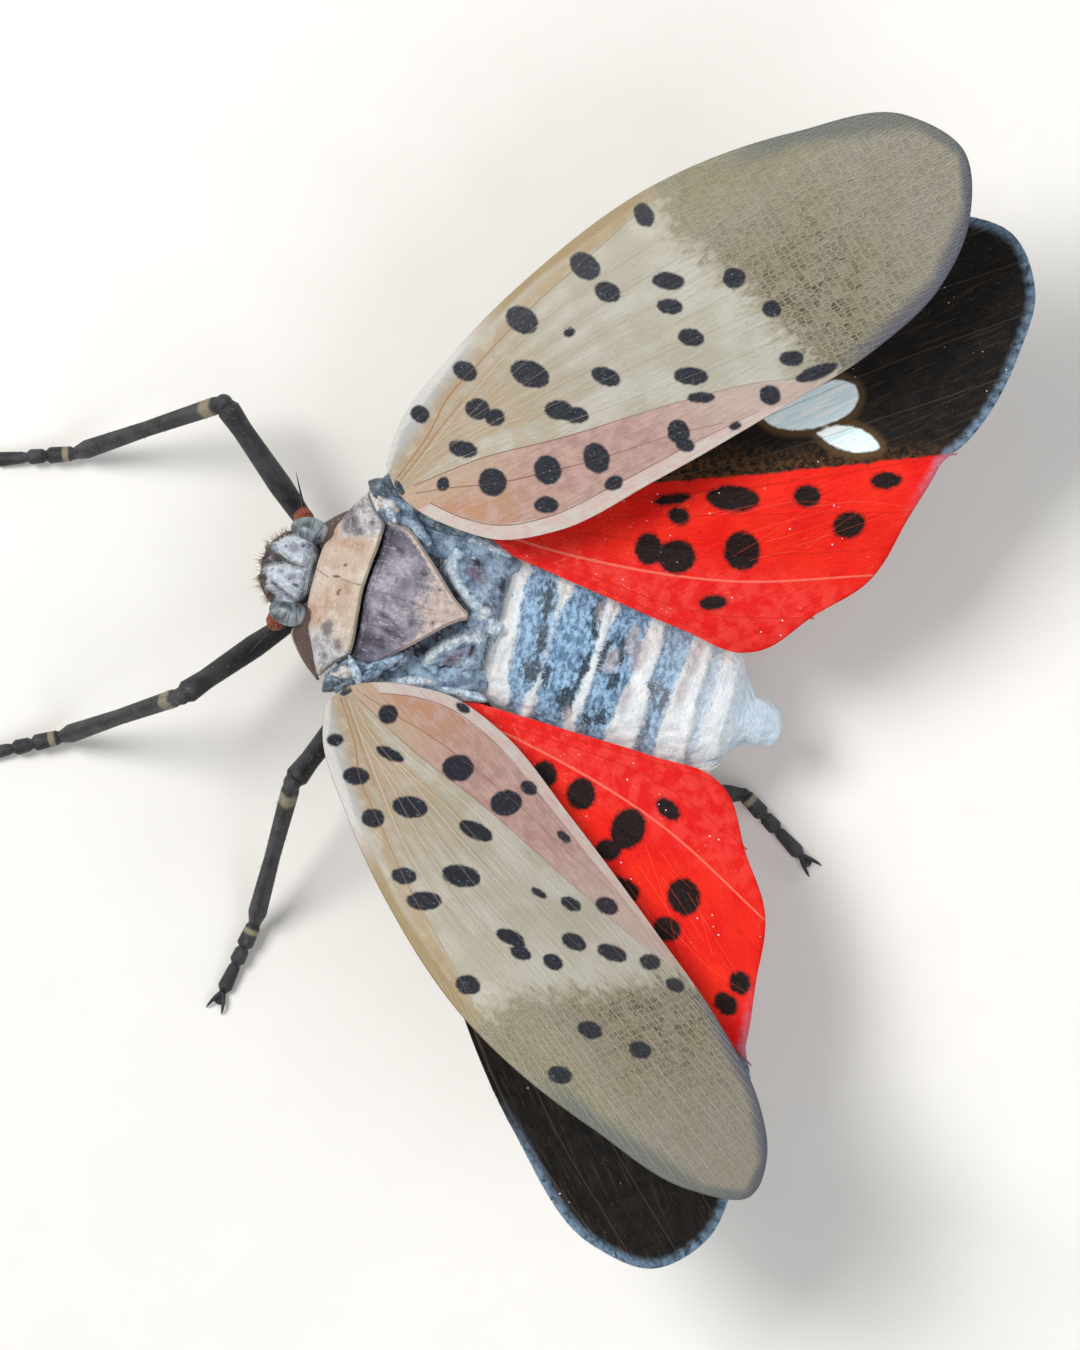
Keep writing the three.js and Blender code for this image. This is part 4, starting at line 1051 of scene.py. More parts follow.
pronotum = {
    "halfWidth": 3.08,
    "front": [(0, 0.97), (0.95, 0.955), (1.18, 0.87), (1.36, 0.7), (1.6, 0.74), (1.8, 0.66), (2.1, 0.54), (2.4, 0.4),
        (2.7, 0.28), (3.08, 0.05)],
    "back": [(0, -0.68), (0.4, -0.7), (0.85, -0.75), (1.3, -0.8), (2.1, -0.8), (2.26, -0.76), (2.42, -0.52),
        (2.65, -0.32), (3.08, -0.02)],
    "crown": 7.5, "slope": 0.125, "swell": 0.12, "thickness": 0.3,
}
pronotumDrawing = {
    "chalk": {
        "areas": [[(341, 517), (354, 500), (367, 490), (378, 510), (382, 530), (370, 538), (358, 534), (347, 540),
            (337, 530)], [(308, 627), (318, 634), (328, 630), (333, 641), (346, 652), (350, 658), (332, 665),
            (318, 675), (312, 655)]],
    },
    "rust": {
        "marks": [(332, 532, 16, 22, 10), (311, 615, 14, 20, 5), (352, 544, 26, 12, 10), (326, 606, 6, 22, 5),
            (317, 618, 8, 10, 0), (345, 590, 10, 16, 20), (340, 528, 5, 12, 0)],
    },
    "plum": {
        "marks": [(347, 512, 14, 20, 40), (351, 524, 15, 20, 25), (358, 531, 14, 9, 10), (327, 628, 12, 16, 0),
            (338, 645, 9, 10, 0), (372, 524, 6, 4, 0), (360, 506, 6, 4, 0), (324, 655, 5, 6, 0)],
    },
    "olive": {
        "areas": [[(381, 530), (379, 548), (371, 569), (363, 590), (358, 618), (351, 652), (345, 640), (350, 610),
            (354, 588), (363, 562), (372, 540)]],
    },
    "pit": {
        "marks": [(329, 530, 9, 13, 10), (308, 614, 7, 12, 5), (336.5, 576.5, 8, 2.6, 5), (338, 593, 3.5, 5, 0),
            (345.5, 565, 4, 3, 0), (340, 590, 3, 2, 0), (372, 522, 4, 2.5, 0)],
        "lines": [[(314, 567), (321, 572), (328, 577)], [(340, 578), (350, 582), (361, 585)]],
        "half": 0.012,
    },
}
mesonotum = {
    "front": -0.8, "apex": -4.15,
    "halfWidth": [(-0.8, 2.36), (-1.55, 2.3), (-2.1, 1.8), (-2.6, 1.38), (-3.1, 0.92), (-3.6, 0.45), (-4.15, 0.08)],
    "crown": [(-0.8, 7.6), (-2.2, 7.8), (-3.4, 7.62), (-4.15, 7.35)],
    "slope": 0.12, "thickness": 0.34,
}
mesonotumDrawing = {
    "tan": {
        "areas": [[(436, 568), (447, 584), (458, 598), (470, 616), (452, 626), (434, 633), (420, 636), (423, 622),
            (417, 610), (424, 596), (430, 582)]],
    },
    "border": {
        "lines": [[(390, 520), (402, 525), (413, 536), (422, 548), (430, 561), (438, 575), (448, 590), (459, 604),
            (468, 615)], [(468, 617), (452, 624), (437, 630), (422, 638), (410, 647), (398, 657), (385, 664),
            (368, 669), (354, 670)]],
        "half": 0.13,
    },
    "seam": {
        "lines": [[(386, 526), (381, 545), (373, 565), (366, 585), (361, 605), (358, 630), (354, 658)]],
        "half": 0.09,
    },
    "shade": {
        "marks": [(388, 540, 18, 26, 20), (380, 556, 10, 20, 20), (372, 640, 30, 14, 25), (394, 634, 24, 7, 30),
            (366, 612, 7, 20, 0), (360, 652, 12, 10, 0), (398, 548, 16, 8, 40), (384, 616, 10, 6, 30),
            (412, 622, 6, 5, 0)],
    },
    "pale": {
        "marks": [(402, 566, 26, 16, -20), (384, 582, 26, 14, -20), (396, 614, 26, 12, 20), (376, 606, 10, 12, 0),
            (420, 600, 16, 10, 20)],
    },
    "pit": {
        "lines": [[(364, 591), (380, 592), (396, 597), (412, 603), (432, 611)],
            [(368, 625), (380, 628), (392, 636), (402, 646)], [(376, 610), (388, 618), (400, 630)],
            [(388, 545), (398, 549), (410, 548)]],
        "marks": [(424, 574, 5, 5, 0), (433, 623, 3, 4, 0), (440, 590, 3, 3, 0)],
        "half": 0.01,
    },
}


# Values of a piece's drawn zones at its points, looked up where the photograph shows them
def zonesOf(points, drawing):
    pixels = toPhoto(points)
    return {name: drawn(pixels, **shapes) for name, shapes in drawing.items()}


# Softer version of a table: the mean of its values a little to each side
def eased(rows, x, reach=0.1):
    return sum(along(rows, x + reach * k) for k in (-1, -0.5, 0, 0.5, 1)) / 5


# Pronotum: columns from side to side and rows from front to back between its two outlines, arched across,
# swollen along, with its rim rounded down and a crease down the middle
def pronotumPlate():
    y = np.linspace(-1, 1, 221)[:, None] * pronotum["halfWidth"]
    row = np.linspace(0, 1, 81)[None]
    reach = np.abs(y)
    wobble = 0.012 * ripple(np.concatenate([y, 0 * y], -1), 1.3, 9)[:, None]
    front, back = eased(pronotum["front"], reach) + wobble, eased(pronotum["back"], reach) - wobble
    x = front + (back - front) * row
    y = y + 0 * row
    toEdge = np.minimum(np.minimum((front - x), (x - back)), (pronotum["halfWidth"] - np.abs(y)) * 0.6)
    z = pronotum["crown"] - pronotum["slope"] * y * y + pronotum["swell"] * (1 - (2 * row - 1) ** 2)
    z = z - 0.1 * (1 - smoothstep(toEdge, 0, 0.09))
    z = z + 0.035 * smoothstep(toEdge, 0.04, 0.1) * (1 - smoothstep(toEdge, 0.14, 0.3))
    z = z - 0.05 * hump(y, 0.05) * smoothstep(toEdge, 0.05, 0.3)
    for side in (1, -1):
        z = z - 0.07 * np.exp(-(((y - side * 0.38) / 0.12) ** 2) - ((x - 0.32) / 0.12) ** 2)
        z = z - 0.1 * np.exp(-(((y - side * 1.9) / 0.5) ** 2) - ((x + 0.1) / 0.22) ** 2)
    points = np.stack([x, y, z], -1)
    points[..., 2] += 0.03 * ripple(points[..., :2], 0.8, 11) + 0.006 * ripple(points[..., :2], 0.4, 12)
    lower = points.copy()
    lower[..., 2] -= pronotum["thickness"] * (0.3 + 0.7 * smoothstep(toEdge, 0, 0.4))
    return shell(points, lower, **zonesOf(points, pronotumDrawing))


# Mesonotum: the same between the pronotum's rear edge and its own tapering sides, down to a point
def mesonotumPlate():
    across = np.linspace(-1, 1, 161)[:, None]
    row = np.linspace(0, 1, 141)[None]
    spine = mesonotum["front"] + (mesonotum["apex"] - mesonotum["front"]) * row
    half = eased(mesonotum["halfWidth"], spine, 0.2)
    y = across * half
    seam = eased(pronotum["back"], np.minimum(np.abs(y), 2.2)) - 0.1
    x = spine + (1 - row) * (seam - mesonotum["front"])
    toEdge = np.minimum((1 - np.abs(across)) * half * 0.8, row * 3.3)
    z = eased(mesonotum["crown"], spine) - mesonotum["slope"] * y * y - 0.12
    z = z - 0.14 * (1 - smoothstep(toEdge, 0, 0.09))
    z = z + 0.06 * smoothstep(toEdge, 0.02, 0.1) * (1 - smoothstep(toEdge, 0.16, 0.24))
    z = z + 0.05 * hump(y, 0.3) * smoothstep(row, 0.2, 0.7)
    points = np.stack([x, y, z], -1)
    values = zonesOf(points, mesonotumDrawing)
    points[..., 2] += 0.035 * ripple(points[..., :2], 0.75, 14) + 0.015 * ripple(points[..., :2], 0.3, 15)
    points[..., 2] -= 0.05 * np.exp(-((np.maximum(values["pit"], 0) / 0.035) ** 2))
    lower = points.copy()
    lower[..., 2] -= mesonotum["thickness"] * (0.35 + 0.65 * smoothstep(toEdge, 0, 0.4))
    return shell(points, lower, **values)


tanLook = {
    "colours": [(194, 176, 160), (184, 160, 144), (204, 192, 182)], "broad": 0.8, "cloud": 2.2, "streak": (9, 1.6, 3),
    "turn": (0, 0, 0), "streaks": (0.45, (236, 224, 206)), "flecks": (0.35, (240, 232, 220)),
    "pits": (0.5, (140, 106, 88)), "rough": 0.6, "depth": 0.07,
}
tanZones = [
    ("olive", (204, 192, 170), (190, 178, 156), 0.6, 0.18, 0.45),
    ("chalk", (200, 203, 206), (146, 146, 154), 0.9, 0.14, 0.85),
    ("rust", (176, 130, 100), (150, 104, 78), 0.5, 0.12, 0.5),
    ("plum", (100, 92, 102), (74, 62, 74), 0.5, 0.08, 0.75),
    ("pit", (54, 34, 26), (80, 52, 40), 0.05, 0.03, 0.85),
]
mauveLook = {
    "colours": [(108, 106, 120), (140, 134, 146), (92, 90, 106)], "broad": 0.9, "cloud": 2.6, "streak": (2.4, 8, 3),
    "turn": (0, 0, 0.5), "streaks": (0.6, (190, 182, 192)), "flecks": (0.6, (206, 196, 204)),
    "pits": (0.6, (62, 52, 70)), "rough": 0.58, "depth": 0.08,
}
mauveZones = [
    ("pale", (188, 178, 188), (160, 150, 164), 0.9, 0.2, 0.7),
    ("tan", (206, 190, 176), (182, 164, 158), 1.3, 0.34, 0.85),
    ("shade", (66, 56, 76), (48, 42, 60), 0.6, 0.12, 0.8),
    ("border", (208, 192, 178), (184, 166, 156), 0.2, 0.05, 0.85),
    ("seam", (30, 26, 36), (54, 44, 58), 0.2, 0.05, 0.9),
    ("pit", (70, 48, 58), (90, 66, 74), 0.03, 0.02, 0.8),
]
tanMaterial = zonedMaterial("tan_plate_shell", tanLook, tanZones)
mauveMaterial = zonedMaterial("mauve_plate_shell", mauveLook, mauveZones)
makePiece("pronotum_plate", pronotumPlate(), tanMaterial, ["pronotum"])
makePiece("mesonotum_plate", mesonotumPlate(), mauveMaterial, ["mesonotum"])

# Shapes in pixels: two lobes and the bridge between them, ridges along bands and ribs, grooves along gaps,
# the rear edge, and a round knob with its radius
metanotum = {
    "front": -1.0, "rear": -5.7,
    "halfWidth": [(-5.7, 1.75), (-5.0, 2.0), (-4.4, 2.3), (-3.6, 2.6), (-2.4, 2.75), (-1.0, 2.75)],
    "top": [(-5.7, 5.75), (-5.2, 5.85), (-4.4, 6.15), (-3.4, 6.4), (-2.2, 6.6), (-1.0, 6.75)],
    "slope": 0.15,
    "lobes": [[(452, 546), (461, 537), (473, 535), (483, 541), (493, 551), (504, 562), (512, 576), (512, 588),
        (506, 599), (501, 613), (494, 620), (487, 616), (477, 613), (466, 606), (457, 595), (449, 584), (446, 572),
        (447, 559)], [(418, 673), (419, 661), (425, 650), (435, 641), (447, 635), (460, 632), (472, 634), (481, 637),
        (489, 638), (488, 651), (484, 664), (478, 676), (470, 684), (455, 683), (440, 681), (428, 677)]],
    "lobeRise": 0.5, "knob": (495, 627, 9),
    "bridge": [[(466, 611), (480, 613), (488, 620), (488, 633), (479, 638), (468, 631), (462, 622)]],
    "bands": [[(458, 548), (451, 560), (451, 573), (457, 586), (465, 597), (475, 607), (485, 614)], [(421, 669),
        (427, 658), (439, 648), (453, 641), (466, 636), (479, 638)]],
    "ribs": [[(446, 565), (449, 578), (456, 590), (465, 602)], [(430, 660), (441, 655), (456, 648), (470, 643)],
        [(470, 545), (484, 555), (498, 566), (507, 580)], [(478, 590), (488, 600), (496, 612)],
        [(462, 538), (456, 546), (450, 552)], [(440, 676), (455, 672), (470, 668)]],
    "rearEdge": [(518, 552), (517, 583), (511, 600), (505, 622), (496, 640), (491, 660), (482, 686)],
    "gaps": [[(428, 552), (434, 562), (440, 574), (449, 587), (458, 600), (467, 612)], [(464, 621), (449, 626),
        (435, 632), (422, 640), (411, 650), (402, 662)], [(513, 583), (508, 597), (503, 612), (498, 622)],
        [(490, 640), (489, 655), (485, 668), (478, 680)]],
}
metanotumDrawing = {
    "plum": {
        "marks": [(478, 575, 26, 14, 40), (456, 658, 28, 11, -30), (440, 553, 12, 14, 0), (470, 652, 14, 8, -30),
            (493, 608, 8, 10, 0), (408, 678, 34, 8, 5)],
    },
    "frost": {
        "marks": [(470, 541, 26, 9, 15), (484, 592, 12, 20, 35), (468, 661, 14, 12, 0), (440, 685, 50, 11, 6),
            (375, 673, 30, 11, 0), (419, 525, 18, 9, 30), (431, 546, 8, 16, 20), (490, 572, 12, 10, 30),
            (390, 662, 14, 5, -30), (500, 572, 5, 5, 0)],
        "areas": metanotum["bridge"],
    },
    "night": {
        "marks": [(448, 529, 22, 7, 12), (421, 532, 14, 7, 40), (475, 560, 20, 7, 45), (472, 651, 5, 13, 25),
            (441, 669, 20, 6, -8), (458, 683, 6, 8, 0), (508, 603, 5, 32, 20), (489, 652, 6, 28, 8),
            (382, 665, 26, 7, -10), (503, 585, 8, 16, 10)],
        "areas": [[(404, 655), (413, 644), (420, 648), (418, 664), (411, 678), (399, 674)],
            [(430, 541), (446, 540), (452, 545), (446, 560), (437, 563)]],
        "lines": metanotum["gaps"][:2],
        "half": 0.075,
    },
    "rust": {"marks": [(488, 654, 4, 18, 5)]},
    "moss": {"marks": [(390, 492, 30, 22, 45), (334, 680, 24, 24, 0)]},
    "wax": {
        "marks": [(460, 553, 8, 7, 0), (473, 556, 6, 4, 0), (495, 627, 16, 17, 0), (483, 543, 14, 8, 30),
            (498, 552, 16, 7, 35)],
        "lines": metanotum["bands"],
        "half": 0.17,
    },
    "thread": {"lines": metanotum["ribs"], "half": 0.012},
}


# Metanotum and the ground round the wings' roots: a saddle over the thorax, its height a parabola across,
# with the two lobes raised by 1 - exp(depth), ridges along the wax bands and ribs, and grooves at the gaps
def metanotumSaddle():
    x = np.linspace(metanotum["front"], metanotum["rear"], 170)[:, None]
    level = np.linspace(-1, 1, 210)[None]
    y = level * along(metanotum["halfWidth"], x)
    z = along(metanotum["top"], x) - metanotum["slope"] * y * y
    pixels = toPhoto(np.stack([x + 0 * y, y, z], -1))
    lobe = areaDepth(pixels, metanotum["lobes"])
    bridge = areaDepth(pixels, metanotum["bridge"])
    ridge = lineDistance(pixels, metanotum["bands"])
    rib = lineDistance(pixels, metanotum["ribs"])
    gap = lineDistance(pixels, metanotum["gaps"])
    across, down, radius = metanotum["knob"]
    knob = np.maximum(0, 1 - (np.hypot(pixels[..., 0] - across, pixels[..., 1] - down) / radius) ** 2)
    edge = (1 - np.abs(level)) * 2.5
    height = metanotum["lobeRise"] * (1 - np.exp(np.minimum(lobe, 0) / 0.3))
    height = height + 0.3 * (1 - np.exp(np.minimum(bridge, 0) / 0.15))
    height = height + 0.17 * hump(ridge, 0.2) + 0.06 * hump(rib, 0.05) - 0.2 * hump(gap, 0.1)
    points = np.stack([x + 0 * y, y, z], -1)
    rough = 0.05 * ripple(points[..., :2], 0.6, 21) + 0.03 * ripple(points[..., :2], 0.25, 22)
    rough = rough + 0.1 * ripple(points[..., :2], 0.9, 23) * (lobe > 0)
    height = height + 0.25 * np.sqrt(knob) + rough - 0.5 * (1 - smoothstep(edge, 0, 0.3))
    rear = fromPhoto(metanotum["rearEdge"], 6.0)
    height = height - 0.9 * smoothstep(np.interp(y, rear[:, 1], rear[:, 0]) - x, -0.02, 0.2)
    points[..., 2] += height
    lower = np.stack([x + 0 * y, y * 0.96, z - 0.9 - 0.5 * np.abs(level)], -1)
    return shell(points, lower, **zonesOf(points, metanotumDrawing))


lobeLook = {
    "colours": [(76, 100, 126), (162, 188, 210), (106, 120, 144)], "broad": 1.2, "cloud": 2.8, "streak": (3, 3, 3),
    "turn": (0, 0, 0), "streaks": (0.5, (172, 194, 212)), "flecks": (0.75, (206, 220, 230)),
    "pits": (0.8, (22, 28, 38)), "rough": 0.42, "depth": 0.13,
}
lobeZones = [
    ("plum", (126, 110, 128), (96, 84, 104), 0.6, 0.12, 0.85),
    ("frost", (184, 204, 222), (136, 160, 190), 0.7, 0.12, 0.9),
    ("night", (16, 18, 24), (44, 42, 52), 0.35, 0.07, 0.95),
    ("rust", (160, 78, 50), (104, 60, 46), 0.2, 0.06, 0.7),
    ("moss", (70, 72, 60), (34, 36, 34), 0.5, 0.1, 0.95),
    ("wax", (240, 246, 248), (176, 198, 214), 0.34, 0.09, 0.95),
    ("thread", (186, 206, 214), (150, 174, 190), 0.1, 0.03, 0.8),
]
darkShell = zonedMaterial("dark_shell_lobe", lobeLook, lobeZones)
makePiece("metanotum_shell", metanotumSaddle(), darkShell, ["metanotum"])

tegula = {"centre": (-0.75, 2.82, 7.05), "half": (0.42, 0.24, 0.24), "turn": 24}
# Hard pieces between each wing's root and the thorax: (start, end in pixels, half width, half height, height,
# finish)
hingeKnobs = {
    "right": [((374, 484), (394, 496), 0.36, 0.3, 6.95, "mossy"), ((390, 478), (404, 494), 0.26, 0.26, 7.2, "mossy"),
        ((384, 500), (395, 522), 0.13, 0.2, 7.1, "chalky"), ((402, 500), (411, 516), 0.15, 0.2, 7.05, "olive"),
        ((404, 514), (428, 544), 0.22, 0.3, 6.6, "frosted"), ((416, 512), (446, 530), 0.2, 0.3, 6.35, "mossy"),
        ((430, 526), (470, 534), 0.22, 0.3, 6.05, "mossy"), ((452, 533), (508, 556), 0.17, 0.3, 5.85, "chalky")],
    "left": [((326, 688), (344, 670), 0.3, 0.3, 6.95, "mossy"), ((338, 688), (352, 684), 0.22, 0.24, 7.15, "mossy"),
        ((349, 656), (361, 690), 0.16, 0.2, 7.05, "chalky"), ((362, 678), (380, 672), 0.15, 0.2, 6.95, "olive"),
        ((368, 668), (402, 656), 0.2, 0.3, 6.8, "frosted"), ((392, 668), (412, 650), 0.22, 0.3, 6.6, "mossy"),
        ((384, 682), (436, 682), 0.2, 0.3, 6.05, "chalky"), ((430, 684), (484, 700), 0.19, 0.3, 5.8, "chalky")],
}
knobZones = {
    "mossy": {"moss": 0.0}, "frosted": {"frost": 0.0, "night": 0.12}, "olive": {"moss": 0.2, "thread": 0.1},
    "chalky": {"wax": 0.0, "frost": -0.1},
}


# Place of each hard piece: its middle, half sizes and turn about the upright
def knobPlaces(sideName):
    for start, end, half, rise, height, finish in hingeKnobs[sideName]:
        ends = fromPhoto([start, end], height)[:, :2]
        way = ends[1] - ends[0]
        reach = np.hypot(*way) / 2 + half * 0.5
        yield np.r_[ends.mean(0), height], (reach, half, rise), math.degrees(math.atan2(way[1], way[0])), finish


# Smooth bases under them, out of the thorax's side: (path, radii along it), the last a shelf that runs rearwards
hingeStems = [
    ([(-1.3, 1.7, 5.3), (-1.15, 2.6, 6.2), (-0.9, 3.3, 7.05)], [(0, 1.1), (0.45, 0.8), (0.8, 0.45), (1, 0.3)]),
    ([(-3.0, 1.5, 4.9), (-3.2, 2.3, 5.5), (-3.5, 3.0, 5.95)], [(0, 1.1), (0.5, 0.75), (1, 0.35)]),
    ([(-1.2, 1.9, 5.7), (-3.0, 2.05, 5.5), (-4.5, 1.95, 5.3), (-5.5, 1.6, 4.5)],
        [(0, 0.55), (0.2, 0.78), (0.65, 0.76), (1, 0.3)]),
]


def hingeParts():
    parts = []
    for sideName, side in sides.items():
        for path, rows in hingeStems:
            stem = limb(np.array(path) * [1, side, 1], rows, 60, 60)
            stem["points"] = stem["points"] + (0.05 * ripple(stem["points"], 0.7, 77))[:, None] * [1, 1, 0.6]
            stem["values"] = plainValues(stem, metanotumDrawing, moss=0.15)
            parts.append(stem)
        for k, (centre, half, turn, finish) in enumerate(knobPlaces(sideName)):
            knob = ball(centre, half, 44, 26, turn, roughly((0.04, 0.5, 50 + k), (0.02, 0.2, 70 + k)))
            knob["values"] = plainValues(knob, metanotumDrawing, **knobZones[finish])
            parts.append(knob)
    return joined(parts)


makePiece("wing_hinges", hingeParts(), darkShell)
for sideName, side in sides.items():
    flap = ball(np.array(tegula["centre"]) * [1, side, 1], tegula["half"], 40, 24, side * tegula["turn"],
                roughly((0.03, 0.3, 41)))
    flap["values"] = plainValues(flap, pronotumDrawing, chalk=-0.1)
    makePiece("tegula_flap_" + sideName, flap, tanMaterial, ["tegula_" + sideName])

# Collar: the pronotum's front wall and side lobe, a thin bowed sheet from under the plate's edge down behind
# the head, dark at the side with a yellowish border. It bows the way from straight ahead to the side
collar = {
    "upper": [(0.84, 0, 7.4), (0.82, 0.9, 7.3), (0.66, 1.4, 7.12), (0.6, 1.75, 7.0), (0.45, 2.1, 6.85),
        (0.2, 2.65, 6.5), (0.0, 3.0, 6.35)],
    "lower": [(0.86, 0, 6.3), (0.86, 0.9, 6.2), (0.95, 1.4, 5.8), (1.3, 1.95, 5.5), (1.0, 2.45, 5.35),
        (0.55, 2.9, 5.5), (0.0, 3.24, 5.9)],
    "bulge": 0.14,
    "thickness": 0.05,
    "reach": {"left": 1.0, "right": 0.8},  # the view hides the right one
    "dark": 0.86,  # share of its height that is dark
    "mesh": (110, 30),
}


def collarFlap(sideName, side):
    columns, rows = collar["mesh"]
    width = [1, side * collar["reach"][sideName], 1]
    upper, lower = (smoothCurve(collar[k], columns) * width for k in ("upper", "lower"))
    share = np.linspace(0, 1, rows)[:, None, None]
    around = np.linspace(0, 1, columns)[None, :, None]
    way = np.concatenate([1 - 0.5 * around, side * 0.8 * around, 0.1 * around], -1)
    sheet = upper * (1 - share) + lower * share
    sheet = sheet + way * (collar["bulge"] * np.sin(math.pi * share) * smoothstep(around, 0, 0.4))
    values = {name: outside for name in pronotumDrawing}
    dark = np.where(share[..., 0] < collar["dark"], -0.5, 0.5)
    values.update(olive=collar["dark"] - share[..., 0], pit=dark, plum=dark)
    return shell(sheet, sheet - way * collar["thickness"], **values)


for sideName, side in sides.items():
    makePiece("collar_flap_" + sideName, collarFlap(sideName, side), tanMaterial)
print("plates made")

head = {"centre": (1.78, 0, 5.95), "half": (1.0, 1.32, 1.15), "crown": 6.95, "browDrop": 0.3}
clypeus = {
    "top": (2.0, 0, 5.0), "middle": (1.55, 0, 4.0), "tip": (0.75, 0, 3.05),
    "rows": [(0, 0.72), (0.35, 0.7), (0.6, 0.58), (1, 0.3)],
}
eye = {
    "centre": (1.5, 1.36, 6.2), "half": (0.66, 0.45, 0.6), "lineWidth": 0.07,
    "colours": {
        "ground": ((66, 74, 78), (122, 132, 138)),
        "rear": (140, 152, 160),
        "lines": (30, 32, 35),
        "collar": (204, 210, 214),
    },
}
headDrawing = {
    "plate": {
        "areas": [[(274, 543), (283, 537), (296, 534), (310, 534), (321, 536), (316, 549), (309, 561), (303, 566),
            (293, 562), (286, 556), (280, 550)], [(267, 570), (277, 566), (288, 566), (300, 567), (307, 570),
            (305, 582), (303, 592), (299, 602), (291, 597), (283, 590), (275, 583), (270, 577)], [(283, 596),
            (292, 600), (300, 605), (301, 616), (294, 621), (286, 612)]],
    },
    "notch": {
        "areas": [[(257, 552), (264, 546), (271, 549), (277, 553), (285, 558), (283, 563), (272, 562), (262, 567)]],
        "marks": [(262, 580, 10, 16, 0), (268, 596, 14, 14, 30), (280, 615, 14, 16, 30)],
        "lines": [[(285, 560), (294, 564), (303, 567)], [(271, 581), (282, 590), (294, 599)],
            [(282, 536), (300, 532), (318, 533)]],
        "half": 0.03,
    },
    "plum": {
        "marks": [(294, 548, 12, 9, 20), (292, 577, 9, 7, 0), (281, 571, 6, 5, 0), (310, 545, 8, 8, 0),
            (296, 608, 7, 8, 0), (266, 555, 7, 7, 0)],
    },
    "ink": {"marks": [(303, 545, 5, 4, 0), (295, 585, 7, 3, 20), (289, 579, 3, 3, 0), (286, 546, 3, 3, 0)]},
    "rim": {
        "lines": [[(325, 528), (321, 539), (313, 560), (307, 580), (304, 598), (302, 612), (298, 621)]],
        "half": 0.055,
    },
    "pale": {
        "lines": [[(268, 569), (285, 565), (304, 569)], [(275, 543), (290, 536), (310, 534)],
            [(278, 550), (290, 560), (303, 565)]],
        "half": 0.02,
    },
}


# Distance of a point of the face from the side keels, which draw together towards the mouth
def keelAway(y, z):
    return np.abs(y) - 0.52 - 0.3 * np.clip(z / head["half"][2], -0.8, 1)


# Head: a broad ball under a flattened crown that falls to the brow. The drawn plates stand proud, the lines
# between them are sunk, the rear rim is raised, and the face has three keels
def headShape(points, unit):
    x, y, z = points[..., 0], points[..., 1], points[..., 2]
    fall = head["browDrop"] * np.maximum(0, x / head["half"][0] + 0.2) ** 2
    ceiling = head["crown"] - head["centre"][2] - fall
    onTop = smoothstep(z - ceiling, -0.05, 0.1)
    flat = np.minimum(z, ceiling + 0.04 * (z - ceiling))
    pixels = toPhoto(np.stack([x, y, flat], -1) + np.array(head["centre"]))
    plate = areaDepth(pixels, headDrawing["plate"]["areas"])
    gap = lineDistance(pixels, headDrawing["notch"]["lines"])
    rim = lineDistance(pixels, headDrawing["rim"]["lines"])
    raised = 0.06 * smoothstep(-plate, -0.02, 0.12) + 0.07 * hump(rim, 0.07) - 0.1 * hump(gap, 0.07)
    hollow = 0.08 * np.exp(-(((np.abs(y) - 0.5) / 0.28) ** 2) - ((x - 0.15) / 0.35) ** 2)
    flat = flat + onTop * (raised - hollow + 0.02 * ripple(points[..., :2], 0.3, 63))
    keels = (x > 0) * (1 - onTop) * (0.13 * hump(y, 0.07) + 0.12 * hump(keelAway(y, z), 0.07))
    return np.stack([np.maximum(x, -0.78) + keels, y, flat], -1) + unit * (0.02 * ripple(points, 0.5, 61))[..., None]


def headParts():
    skull = ball(head["centre"], head["half"], 200, 150, 0, headShape)
    skull["values"] = zonesOf(skull["points"], headDrawing)
    side = 1 - smoothstep(skull["points"][:, 2], 6.3, 6.6)
    for name in headDrawing:
        skull["values"][name] = skull["values"][name] + outside * side * (name != "notch")
    skull["values"]["face"] = 0.5 - side
    local = skull["points"] - np.array(head["centre"])
    keel = np.minimum(np.abs(local[:, 1]), np.abs(keelAway(local[:, 1], local[:, 2]))) - 0.05
    skull["values"]["pale"] = np.where((side > 0.4) & (local[:, 0] > 0.2), keel, skull["values"]["pale"])
    face = limb([clypeus["top"], clypeus["middle"], clypeus["tip"]], clypeus["rows"], 50, 40)
    face["values"] = plainValues(face, [*headDrawing, "face"], face=-0.5)
    face["values"]["pale"] = np.abs(face["points"][:, 1]) - 0.05
    face["points"][:, 0] += 0.12 * hump(face["points"][:, 1], 0.08) * (face["points"][:, 0] > 0.9)
    return joined([skull, face])


headLook = {
    "colours": [(152, 160, 172), (120, 128, 142), (176, 180, 188)], "broad": 1.1, "cloud": 3.0, "streak": (4, 8, 3),
    "turn": (0, 0, 0.4), "streaks": (0.5, (214, 220, 226)), "flecks": (0.5, (228, 232, 236)),
    "pits": (0.6, (62, 64, 76)), "rough": 0.6, "depth": 0.09,
}
headZones = [
    ("face", (88, 66, 54), (120, 92, 74), 0.5, 0.2, 0.9),
    ("plate", (214, 222, 232), (172, 180, 194), 0.6, 0.1, 0.85),
    ("notch", (34, 26, 26), (66, 52, 48), 0.4, 0.06, 0.95),
    ("plum", (132, 118, 142), (104, 94, 116), 0.4, 0.08, 0.75),
    ("ink", (38, 46, 74), (62, 66, 92), 0.2, 0.04, 0.9),
    ("pale", (214, 206, 194), (190, 184, 178), 0.12, 0.035, 0.75),
    ("rim", (230, 234, 238), (206, 212, 220), 0.12, 0.03, 0.9),
]


